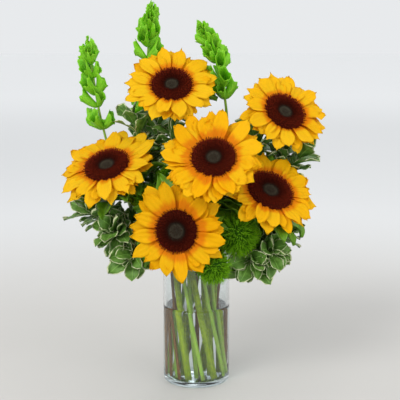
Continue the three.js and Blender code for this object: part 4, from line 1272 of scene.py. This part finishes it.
def sunflower_stem(flower, number, settings, materials):
    """Hairy stem, the cup behind the head, its bracts, and broad leaves, each at its first clear place."""
    body = Form()
    end = np.array(flower.centre) - unit(flower.facing) * CALYX_DEPTH
    curve = free_curve(flower, end, flower.facing)
    body.add_stem(flower, SUNFLOWER_STEM, curve, draw(number, 41))
    body.add(calyx_cup(flower), shade=0.3, slot=1)
    body.add_sheets(*bracts(flower, number, settings), slot=1)
    for k in range(settings.stem_leaves):
        first = first_item("broad leaf", number) + BROAD_LEAF_ITEMS * k
        for item in range(first, first + BROAD_LEAF_TRIES):
            stalk, rings = broad_leaf(curve, item)
            if clear(rings, [flower.name + "_stem"]):
                body.add(tube_points(stalk, LEAF_STALK))
                body.add_sheets(rings, draw(item, 10), slot=2)
                break
    body.piece(flower.name + "_stem", "stem", materials)


# ---------------------------------------------------------------- bells of Ireland

CUP_STEPS = 9
CUP_SIDES = 22
CUP_ITEM_STEP = 0.37  # sets the draws of cups apart that stand on one place
# Every third cup has a spine beside it: its lean, its turn in degrees, its length over the cup's, its radius.
SPINE_EVERY = 3
SPINE_LEAN = math.radians(60)
SPINE_TURN = 30
SPINE_LENGTH = 0.6
SPINE_RADIUS = 0.55
# Cups nearer to the spike's tip than 40 mm are young, and from 80 mm on they are full grown. A full-grown
# cup is larger by a share, and a cup is smaller by its length if that is under 1 / 0.048 mm.
YOUNG_REACH = 40
FULL_GROWTH = 0.16
SIZE_BY_LENGTH = 0.048
# Added cups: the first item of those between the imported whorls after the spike's own first, and how far they
# are turned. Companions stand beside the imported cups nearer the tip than 50 mm or farther than 130 mm.
BETWEEN_ITEMS = 60
BETWEEN_TURN = 30
COMPANION_TURN = 60
COMPANION_LENGTH = 0.66
COMPANION_MOUTH = 0.75
NO_COMPANIONS = (50, 130)

# A cup's draws, its place on the stem, its lean and its angle round the stem, its size over its whorl's, and
# its distance from the spike's tip.
Cup = namedtuple("Cup", "item point tangent lean angle size distance")


def whorl_cups(curve, whorl, distance, first):
    """The three cups of a whorl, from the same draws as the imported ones."""
    point, tangent = curve.at_part(max(1 - distance / curve.length, 0))
    cups = []
    for k in range(3):
        item = first + 3 * whorl + k
        lean = math.radians(min(44, 16 + distance) + 7 * spread(item, 1))
        angle = 2 * math.pi * (k + (whorl % 2) / 2 + 0.15 * spread(item, 2)) / 3
        cups.append(Cup(item, point, tangent, lean, angle, 1 + 0.1 * spread(item, 3), distance))
    return cups


def cup_frame(cup, turn, lean):
    """The frame of a cup at a lean, turned about the stem by so many degrees."""
    radial = around(cup.tangent, cup.angle + math.radians(turn))
    return places(cup.point, leant(cup.tangent, radial, lean), cup.tangent)


def packed_rim(frame_of, length, mouth):
    """Two corners of a packed cup's five-sided rim: the upper one, and the next but one."""
    angle = 2 * np.pi * np.array([0, 2]) / 5 + np.pi / 2
    x, z = mouth * np.cos(angle), mouth * np.sin(angle)
    return carried(frame_of, np.stack([x, length - z * BELL_SLANT, z], axis=-1)[None])[0]


def cup_rings(frame_of, item, length, mouth, wall):
    """A bell: from its root up the outer wall, over the rim and down the inner one.

    Its radius is m (0.1 + 0.85 (1 - (1 - v)^2)^0.55 + 0.15 v^6), with five shallow lobes in the rim. It
    swells away from the stem, and its mouth faces outwards: its side next to the stem stands over its lip.
    """
    v = np.concatenate([np.linspace(0, 1, CUP_STEPS), np.linspace(1, 0.12, CUP_STEPS)])[:, None]
    inner = np.repeat([0, 1], CUP_STEPS)[:, None]
    angle = circle(CUP_SIDES)
    lobes = 1 + 0.1 * np.cos(5 * angle + 3 * spread(item, 11)) * v**3
    radius = mouth * (0.1 + 0.85 * (1 - (1 - v) ** 2) ** 0.55 + 0.15 * v**6) * lobes - wall * inner
    radius = np.maximum(radius, 0.25)
    narrow = 1 + 0.16 * spread(item, 14)
    sideways = radius * np.sin(angle) * narrow
    raised = radius * (np.cos(angle) / narrow - 0.3 * v) + 0.1 * mouth * np.cos(2 * angle) * v**3
    ripple = 0.08 * np.cos(5 * angle + 5 * spread(item, 12)) * v**4
    oblique = (0.3 + 0.1 * spread(item, 13)) * np.cos(angle) * v**1.5
    reach = v * (1 + oblique) + ripple + wall / length * inner * 0.4
    blade = Blade(length, 0.0, 0.3 + 0.25 * spread(item, 15), 0.15 * spread(item, 16), 0.3 * spread(item, 17))
    return blade_points(frame_of, blade, reach[None], sideways[None], raised[None])[0]


def spine_rings(frame_of, length):
    """A thin pointed bract under a whorl: a four-sided needle, its radius r (1 - v)."""
    v = np.linspace(0, 1, 5)[None]
    return needle_points(frame_of, SPINE_RADIUS * (1 - v) + 0.04, length * v, 4)


def spike_cups(spike, number, curve):
    """Every cup of a spike with its turn in degrees, its length, its mouth, and whether it is packed."""
    corners = node_corners(spike.name)
    first = first_item("bell", number)
    cups = []
    for whorl, (distance, *sizes) in enumerate(BELL_TIP_WHORLS + spike.whorls):
        for cup in whorl_cups(curve, whorl, distance, first):
            length, mouth = (size * cup.size for size in sizes)
            rims = [
                packed_rim(cup_frame(cup, turn, cup.lean), length * part, mouth * part)
                for turn, part in BELL_TRIES
            ]
            found = chosen_try(corners, np.array(rims))
            if found is not None:
                turn, part = BELL_TRIES[found]
                cups.append((cup, turn, length * part, mouth * part, True))
                if not NO_COMPANIONS[0] <= distance <= NO_COMPANIONS[1]:
                    small = (length * COMPANION_LENGTH, mouth * COMPANION_MOUTH)
                    cups.append((cup, turn + COMPANION_TURN, *small, False))
    for whorl, (distance, length, mouth) in enumerate(spike.between):
        for cup in whorl_cups(curve, whorl, distance, first + BETWEEN_ITEMS):
            cups.append((cup, BETWEEN_TURN, length * cup.size, mouth * cup.size, False))
    return cups


def growth(cup, length, settings):
    """A cup's lean over its packed lean, and its size over its packed size."""
    grown = min(max((cup.distance - YOUNG_REACH) / YOUNG_REACH, 0), 1)
    lean = settings.bell_upright + (1.0 - settings.bell_upright) * grown
    return lean, min(1, SIZE_BY_LENGTH * length) * (1 + FULL_GROWTH * grown)


def bell_spike(spike, number, settings, materials):
    """A spike: its stem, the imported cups, the others where they are clear, and a spine by one in three."""
    body = Form()
    curve = free_curve(spike, spike.tip, spike.arrive)
    body.add_stem(spike, BELL_STEM, curve, 0.5)
    for index, (cup, turn, length, mouth, packed) in enumerate(spike_cups(spike, number, curve)):
        lean, size = growth(cup, length, settings)
        rings = cup_rings(
            cup_frame(cup, turn, cup.lean * lean),
            cup.item + CUP_ITEM_STEP * index,
            length * settings.bell_height * size,
            mouth * settings.bell_width * size,
            settings.bell_wall / MM,
        )
        if packed or clear(rings, [spike.name]):
            body.add(rings, np.arange(CUP_SIDES) / CUP_SIDES, shade=draw(cup.item + index, 13), slot=1)
            if index % SPINE_EVERY == 1:
                frame_of = cup_frame(cup, turn + SPINE_TURN, SPINE_LEAN)
                body.add(spine_rings(frame_of, SPINE_LENGTH * length), shade=0.2)
    body.piece(spike.name, "bells", materials)


# ---------------------------------------------------------------- green dianthus

STRAND_RINGS = np.array([0, 0.3, 0.6, 0.85, 1.0])
STRAND_DEPTH = 4  # how deep in the core a strand starts
STRANDS_RADIUS = 30  # the ball that has as many strands as the setting says
CORE_RINGS = 17
CORE_SIDES = 28


def strand_points(centre, out, low, reach, bend, width):
    """Three-sided strands from a ball's core: a point lies at c + o r + b L s^2 with s the part passed.

    The strand's half width is w/2 (1 - s)^0.6, and it curves aside along b.
    """
    length = (reach - low)[:, None]
    along = (low + length * STRAND_RINGS)[..., None]
    path = centre + out[:, None] * along + bend[:, None] * (STRAND_RINGS**2 * length)[..., None]
    side = unit(np.cross(out, unit(bend + 1e-6)))
    angle = circle(3)[:, None]
    ring = np.cross(side, out)[:, None] * np.cos(angle) + side[:, None] * np.sin(angle)
    half = width / 2 * (1 - STRAND_RINGS) ** 0.6 + 0.05
    return path[:, :, None] + ring[:, None] * half[None, :, None, None]


def strands(ball, number, settings):
    """Strands in all directions by the golden angle, and the shade of each.

    Each strays a little from its direction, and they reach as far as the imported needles' tips, in tufts:
    the reach waves over the ball by products of sines, and by a draw.
    """
    total = int(settings.strands * (ball.radius / STRANDS_RADIUS) ** 2)
    k = np.arange(total)
    item = first_item("strand", number) + k
    height = 1 - 2 * (k + 0.5) / total
    out = level(GOLDEN_ANGLE * k) * np.sqrt(1 - height**2)[:, None] + UP * height[:, None]
    stray, aside = (np.stack([spread(item, first + axis) for axis in range(3)], axis=-1) for first in (1, 5))
    out = unit(out + 0.16 * stray)
    tuft = np.sin(5 * out[:, 0] + 2 * number) * np.sin(6 * out[:, 1]) * np.sin(5 * out[:, 2] + 1)
    low = ball.radius * DIANTHUS_CORE - STRAND_DEPTH
    reach = ball.radius * (0.93 + 0.07 * tuft + 0.12 * spread(item, 4))
    bend = np.cross(out, aside) * 0.55
    rings = strand_points(np.array(ball.centre), out, low, reach, bend, settings.strand_width / MM)
    return rings, draw(item, 8)


def dianthus_ball(ball, number, settings, materials):
    """A ball of fine strands round a mossy core."""
    body = Form()
    body.add_stem(ball, DIANTHUS_STEM, free_curve(ball, ball.centre, ball.arrive), 0.4)
    rings, shade = strands(ball, number, settings)
    body.add(rings, shade=shade, slot=1)
    core = lathe_points(arc((0, 0), ball.radius * DIANTHUS_CORE, -90, 90, CORE_RINGS), CORE_SIDES)
    # With `along` at 0, the core takes the darkest painted shade of the strands' roots.
    body.add(core + np.array(ball.centre), along=np.zeros(CORE_RINGS), shade=0.0, slot=1)
    body.piece(ball.name, "dianthus", materials)


# ---------------------------------------------------------------- pittosporum

# The points across and the stations along a packed leaf and a further one, and their widths over the length.
LEAF_GRID = (9, 17)
LEAF_WIDTH = 0.45
FURTHER_GRID = (5, 12)
FURTHER_WIDTH = 0.53
FURTHER_TURNS = (0, 0.9, -0.9)


def shoot_curve(main, part, tip):
    """A side shoot: it leaves between the stem's way and its own, and turns up a little at its tip."""
    start, tangent = main.at_part(part)
    end = np.array(tip, float)
    third = np.linalg.norm(end - start) / 3
    straight = unit(end - start)
    leave = unit(tangent + straight)
    arrive = unit(straight + 0.25 * UP)
    return Bezier(start, start + leave * third, end - arrive * third, end)


def leaf_place(curve, part, lean, angle, blade):
    """The frame of a leaf on a shoot, its upper side towards the shoot's tip and the sky, and its blade."""
    point, tangent, radial, out = curve.branch(part, lean, angle)
    return places(point, out, tangent + UP - 0.4 * radial), blade


def packed_leaf(curve, k, leaves, item, turn, part):
    """The frame and middle line of the leaf `k` of a shoot after a try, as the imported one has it."""
    along = 0.45 + 0.55 * k / (leaves - 1)
    lean = math.radians(12 if k == leaves - 1 else 58 - 18 * along + 8 * spread(item, 1))
    angle = GOLDEN_ANGLE * (k + 7 * draw(item, 3)) + math.radians(turn)
    blade = Blade(
        length=(30 + 16 * draw(item, 2)) * part,
        rise_root=math.radians(12),
        rise_tip=math.radians(-22 + 16 * spread(item, 4)),
        sway=0.08 * spread(item, 5),
        twist=math.radians(24 * spread(item, 6)),
    )
    return leaf_place(curve, min(along, 0.995), lean, angle, blade)


def further_leaf(curve, part, item, angle):
    """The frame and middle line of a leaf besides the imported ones, at a part of the shoot's length."""
    lean = math.radians(58 + 16 * spread(item, 22) - 24 * part**4)
    blade = Blade(
        length=33 + 17 * draw(item, 24),
        rise_root=math.radians(14),
        rise_tip=math.radians(-24 + 18 * spread(item, 25)),
        sway=0.1 * spread(item, 26),
        twist=0.4 * spread(item, 27),
    )
    return leaf_place(curve, part, lean, angle, blade)


def leaf_rings(frame_of, blade, item, thickness, broad, grid):
    """An obovate leaf with a waved edge, its width w a share `broad` of its length.

    Half width: w/2 sin(pi v^1.45)^0.66, widest past the middle.
    The edges wave by 0.11 w u^2 sin(2 pi 2.2 v), and the blade folds up along its midrib by 0.13 w |u|^1.3.
    """
    u, upper, v = blade_grid(*grid)
    width = blade.length * broad
    half = width / 2 * np.maximum(np.sin(np.pi * v**1.45), 0) ** 0.66 + 0.45 * (1 - v)
    half = half * (1 + 0.07 * np.sin(2 * np.pi * 3.1 * v + 4 * spread(item, 15)))
    wave = 0.11 * width * u**2 * np.sin(2 * np.pi * 2.2 * v + 3 * np.sign(u) + 3 * spread(item, 16)) * v
    raised = 0.13 * width * np.abs(u) ** 1.3 + wave + upper * thickness / 2 * (1.15 - u**2)
    return blade_points(frame_of, blade, v, half * u, raised)[0]


def add_packed_leaves(body, curve, leaves, first, corners, thickness):
    """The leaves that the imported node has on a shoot, each at the try that it took."""
    for k in range(leaves):
        item = first + k
        options = [packed_leaf(curve, k, leaves, item, *attempt) for attempt in LEAF_TRIES]
        tips = [blade_points(*option, 1.0, np.zeros((1, 1, 1)), 0.0)[0] for option in options]
        found = chosen_try(corners, np.array(tips)[:, 0])
        if found is not None:
            rings = leaf_rings(*options[found], item, thickness, LEAF_WIDTH, LEAF_GRID)
            body.add_sheets(rings, draw(item, 17), slot=1)


def add_further_leaves(body, curve, first, name, settings):
    """Fills a shoot up: a rosette at its tip and ever fewer leaves down it, each at its first clear angle."""
    count = settings.more_leaves
    thickness = settings.leaf_thickness / MM
    for k in range(count):
        item = first + k
        part = 1 - 0.9 * ((k + 0.5 * draw(item, 21)) / count) ** 1.4
        for turn in FURTHER_TURNS:
            leaf = further_leaf(curve, part, item, GOLDEN_ANGLE * k + 7 * draw(first, 23) + turn)
            rings = leaf_rings(*leaf, item, thickness, FURTHER_WIDTH, FURTHER_GRID)
            if clear(rings, [name]):
                body.add_sheets(rings, draw(item, 17), slot=1)
                break


def pittosporum(shrub, number, settings, materials):
    """A leafy stem: woody twigs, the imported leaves, and more leaves where they cut through no other piece."""
    body = Form()
    main = free_curve(shrub, shrub.tip, np.array(shrub.tip) - [*shrub.neck, NECK_HEIGHT])
    body.add_stem(shrub, TWIG, main, 0.3)
    branches = [(main, shrub.leaves)]
    for part, tip, leaves in shrub.shoots:
        curve = shoot_curve(main, part, tip)
        body.add(tube_points(curve.points(SHOOT.points), SHOOT), shade=0.6)
        branches.append((curve, leaves))
    corners = node_corners(shrub.name)
    for branch, (curve, leaves) in enumerate(branches):
        first = first_item("leaf", number) + BRANCH_ITEMS * branch
        add_packed_leaves(body, curve, leaves, first, corners, settings.leaf_thickness / MM)
        first = first_item("further leaf", number) + FURTHER_BRANCH_ITEMS * branch
        add_further_leaves(body, curve, first, shrub.name, settings)
    body.piece(shrub.name, "pittosporum", materials)


# ---------------------------------------------------------------- vase and water


def vase_profile():
    """The glass's outline from the middle of its foot, up outside, over the rim and down inside."""
    inner = VASE_RADIUS - VASE_WALL
    foot = 3 * VASE_BEVEL
    hollow = 2 * VASE_BEVEL
    lip = VASE_WALL / 2
    points = [(0.01, 0.4), (20, 0.3), (VASE_RADIUS - foot - 3, 0.1), (VASE_RADIUS - foot, 0)]
    points += arc((VASE_RADIUS - foot, foot), foot, -80, 0)
    points += [(VASE_RADIUS, height) for height in np.linspace(12, VASE_HEIGHT - 6, 12)]
    points += arc((VASE_RADIUS - lip, VASE_HEIGHT - lip), lip, 0, 180, 11)
    points += [(inner, height) for height in np.linspace(VASE_HEIGHT - 6, VASE_FLOOR + 8, 12)]
    points += arc((inner - hollow, VASE_FLOOR + hollow), hollow, 0, -90)
    return points + [(30, VASE_FLOOR), (14, VASE_FLOOR + 0.3), (0.01, VASE_FLOOR + 0.4)]


def water_profile(settings):
    """The water's outline: it fills the hollow, reaches a little into the glass and climbs it at the top."""
    overlap = settings.overlap / MM
    climb = settings.meniscus / MM
    inner = VASE_RADIUS - VASE_WALL + overlap
    hollow = 2 * VASE_BEVEL
    floor = VASE_FLOOR - overlap
    points = [(0.01, floor), (30, floor)]
    points += arc((inner - hollow, floor + hollow), hollow, -90, 0)
    points += [(inner, height) for height in np.linspace(20, WATER_LEVEL - 4, 8)]
    points += [(inner - 6 * part, WATER_LEVEL + climb * (1 - part) ** 3) for part in np.linspace(0, 1, 8)]
    return points + [(28, WATER_LEVEL), (0.01, WATER_LEVEL)]


# ---------------------------------------------------------------- operators

FLOOR_RINGS = 23
FLOOR_SIDES = 64

# Rectangular lamps: name, place and size in metres, and watts. All face a point over the vase's foot.
LAMPS = [
    ("key", (-2.4, -3.2, 3.2), (2.2, 2.2), 19.6),
    ("fill", (3.4, -2.6, 2.0), (3.0, 3.0), 8.4),
    ("back", (1.2, 3.6, 3.0), (2.8, 2.8), 6.6),
    ("strip", (1.25, -2.2, 0.75), (0.14, 1.5), 0.8),
]
LAMP_TARGET = Vector((0, 0, 0.3))
LAMP_SPREAD = math.radians(70)
ROOM_COLOUR = (0.96, 0.98, 1.0, 1.0)
ROOM_STRENGTH = 0.84


class BOUQUET_OT_vase(bpy.types.Operator):
    """Glass cylinder with a thick foot and a rounded lip"""

    bl_idname = "bouquet.vase"
    bl_label = "Vase"

    def execute(self, context):
        settings = context.scene.bouquet_vase
        glass = Form()
        glass.add(lathe_points(vase_profile(), settings.sides))
        glass.piece("vase", "glass", [glass_material(settings)], name="vase_glass")
        return {"FINISHED"}


class BOUQUET_OT_water(bpy.types.Operator):
    """Water with its meniscus"""

    bl_idname = "bouquet.water"
    bl_label = "Water"

    def execute(self, context):
        settings = context.scene.bouquet_vase
        water = Form()
        water.add(lathe_points(water_profile(settings), settings.sides))
        water.piece("water", "water", [water_material(settings)], name="vase_water")
        return {"FINISHED"}


class BOUQUET_OT_sunflowers(bpy.types.Operator):
    """Six sunflowers: stem and calyx, disc, and petals of each"""

    bl_idname = "bouquet.sunflowers"
    bl_label = "Sunflowers"

    def execute(self, context):
        settings = context.scene.bouquet_sunflower
        materials = [
            green_material("sunflower_stem", settings.stem, settings.stem_pale, 6.0, 0.08, 0.5),
            green_material("sunflower_bract", settings.bract, settings.stem, 10.0, 0.15, 0.6),
            veined_material("sunflower_leaf", settings.leaf, settings.leaf_pale, settings.leaf_pale, 2.0),
        ]
        petal = petal_material(settings)
        floret = floret_material(settings)
        for number, flower in enumerate(SUNFLOWERS):
            sunflower_stem(flower, number, settings, materials)
            sunflower_disc(flower, number, settings, floret)
            sunflower_petals(flower, number, settings, petal)
        return {"FINISHED"}


class BOUQUET_OT_bells(bpy.types.Operator):
    """Three spikes of bells of Ireland"""

    bl_idname = "bouquet.bells"
    bl_label = "Bells of Ireland"

    def execute(self, context):
        settings = context.scene.bouquet_filler
        stem = green_material("bell_stem", settings.bell, settings.bell_stem, 5.0, 0.1, 0.45)
        materials = [stem, bell_material(settings)]
        for number, spike in enumerate(SPIKES):
            bell_spike(spike, number, settings, materials)
        return {"FINISHED"}


class BOUQUET_OT_dianthus(bpy.types.Operator):
    """Four balls of green dianthus"""

    bl_idname = "bouquet.dianthus"
    bl_label = "Green dianthus"

    def execute(self, context):
        settings = context.scene.bouquet_filler
        stem = green_material("dianthus_stem", settings.dianthus_pale, settings.bell_stem, 5.0, 0.05, 0.5)
        materials = [stem, dianthus_material(settings)]
        for number, ball in enumerate(BALLS):
            dianthus_ball(ball, number, settings, materials)
        return {"FINISHED"}


class BOUQUET_OT_pittosporum(bpy.types.Operator):
    """Seven leafy stems of variegated pittosporum"""

    bl_idname = "bouquet.pittosporum"
    bl_label = "Pittosporum"

    def execute(self, context):
        settings = context.scene.bouquet_filler
        colours = (settings.leaf, settings.leaf_grey, settings.leaf_margin)
        materials = [bark_material(settings), veined_material("variegated_leaf", *colours, 1.03)]
        for number, shrub in enumerate(SHRUBS):
            pittosporum(shrub, number, settings, materials)
        return {"FINISHED"}


class BOUQUET_OT_stage(bpy.types.Operator):
    """Pale floor, soft lamps and the camera"""

    bl_idname = "bouquet.stage"
    bl_label = "Stage"

    def execute(self, context):
        scene = context.scene
        settings = scene.bouquet_stage
        self.make_floor(scene, settings)
        for lamp in LAMPS:
            self.make_lamp(scene, *lamp)
        scene.world = bpy.data.worlds.new("soft_room")
        scene.world.use_nodes = True
        background = scene.world.node_tree.nodes["Background"]
        background.inputs["Color"].default_value = ROOM_COLOUR
        background.inputs["Strength"].default_value = ROOM_STRENGTH
        scene.view_settings.view_transform = "Standard"
        self.make_camera(scene, settings)
        return {"FINISHED"}

    def make_floor(self, scene, settings):
        """A round floor, its rings closer together near the middle."""
        radii = settings.floor_radius * np.linspace(0, 1, FLOOR_RINGS + 1)[1:] ** 2
        rings = lathe_points([(radius, 0) for radius in radii], FLOOR_SIDES)
        corners = np.concatenate([[[0, 0, 0]], rings.reshape(-1, 3)])
        here = np.arange(FLOOR_SIDES) + 1
        fan = np.stack([np.zeros_like(here), here, np.roll(here, -1)], axis=1)
        quads = ring_quads(FLOOR_RINGS, FLOOR_SIDES)[:, ::-1] + 1
        mesh = bpy.data.meshes.new("floor")
        mesh.from_pydata(corners.tolist(), [], fan.tolist() + quads.tolist())
        mesh.materials.append(floor_material(settings))
        floor = bpy.data.objects.new("floor", mesh)
        scene.collection.objects.link(floor)

    def make_lamp(self, scene, name, place, size, watts):
        light = bpy.data.lights.new(name, "AREA")
        light.shape = "RECTANGLE"
        light.size, light.size_y = size
        light.energy = watts
        light.spread = LAMP_SPREAD
        lamp = bpy.data.objects.new(name, light)
        lamp.location = place
        lamp.rotation_euler = (LAMP_TARGET - Vector(place)).to_track_quat("-Z", "Y").to_euler()
        scene.collection.objects.link(lamp)

    def make_camera(self, scene, settings):
        camera = bpy.data.objects.new("camera", bpy.data.cameras.new("camera"))
        camera.data.sensor_width = 36
        camera.data.lens = settings.camera_lens
        camera.location = (settings.camera_x, -settings.camera_distance, settings.camera_height)
        camera.rotation_euler = (math.pi / 2 - settings.camera_tilt, 0, 0)
        scene.collection.objects.link(camera)
        scene.camera = camera


class BOUQUET_PT_panel(bpy.types.Panel):
    """Lists the builders and their settings"""

    bl_idname = "BOUQUET_PT_panel"
    bl_label = "Sunflowers in a vase"
    bl_space_type = "VIEW_3D"
    bl_region_type = "UI"
    bl_category = "Bouquet"

    def draw(self, context):
        for name, group in SETTINGS.items():
            box = self.layout.box()
            for key in group.__annotations__:
                box.prop(getattr(context.scene, name), key)
        for operator in OPERATORS:
            self.layout.operator(operator.bl_idname)


SETTINGS = {
    "bouquet_vase": VaseSettings,
    "bouquet_sunflower": SunflowerSettings,
    "bouquet_filler": FillerSettings,
    "bouquet_stage": StageSettings,
}
OPERATORS = [
    BOUQUET_OT_vase,
    BOUQUET_OT_water,
    BOUQUET_OT_sunflowers,
    BOUQUET_OT_bells,
    BOUQUET_OT_dianthus,
    BOUQUET_OT_pittosporum,
    BOUQUET_OT_stage,
]


def register():
    for cls in (*SETTINGS.values(), *OPERATORS, BOUQUET_PT_panel):
        bpy.utils.register_class(cls)
    for name, group in SETTINGS.items():
        setattr(bpy.types.Scene, name, bpy.props.PointerProperty(type=group))


def unregister():
    for name in SETTINGS:
        delattr(bpy.types.Scene, name)
    for cls in reversed((*SETTINGS.values(), *OPERATORS, BOUQUET_PT_panel)):
        bpy.utils.unregister_class(cls)


def main():
    register()
    for operator in OPERATORS:
        folder, name = operator.bl_idname.split(".")
        getattr(getattr(bpy.ops, folder), name)()
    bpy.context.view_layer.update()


if __name__ == "__main__":
    main()
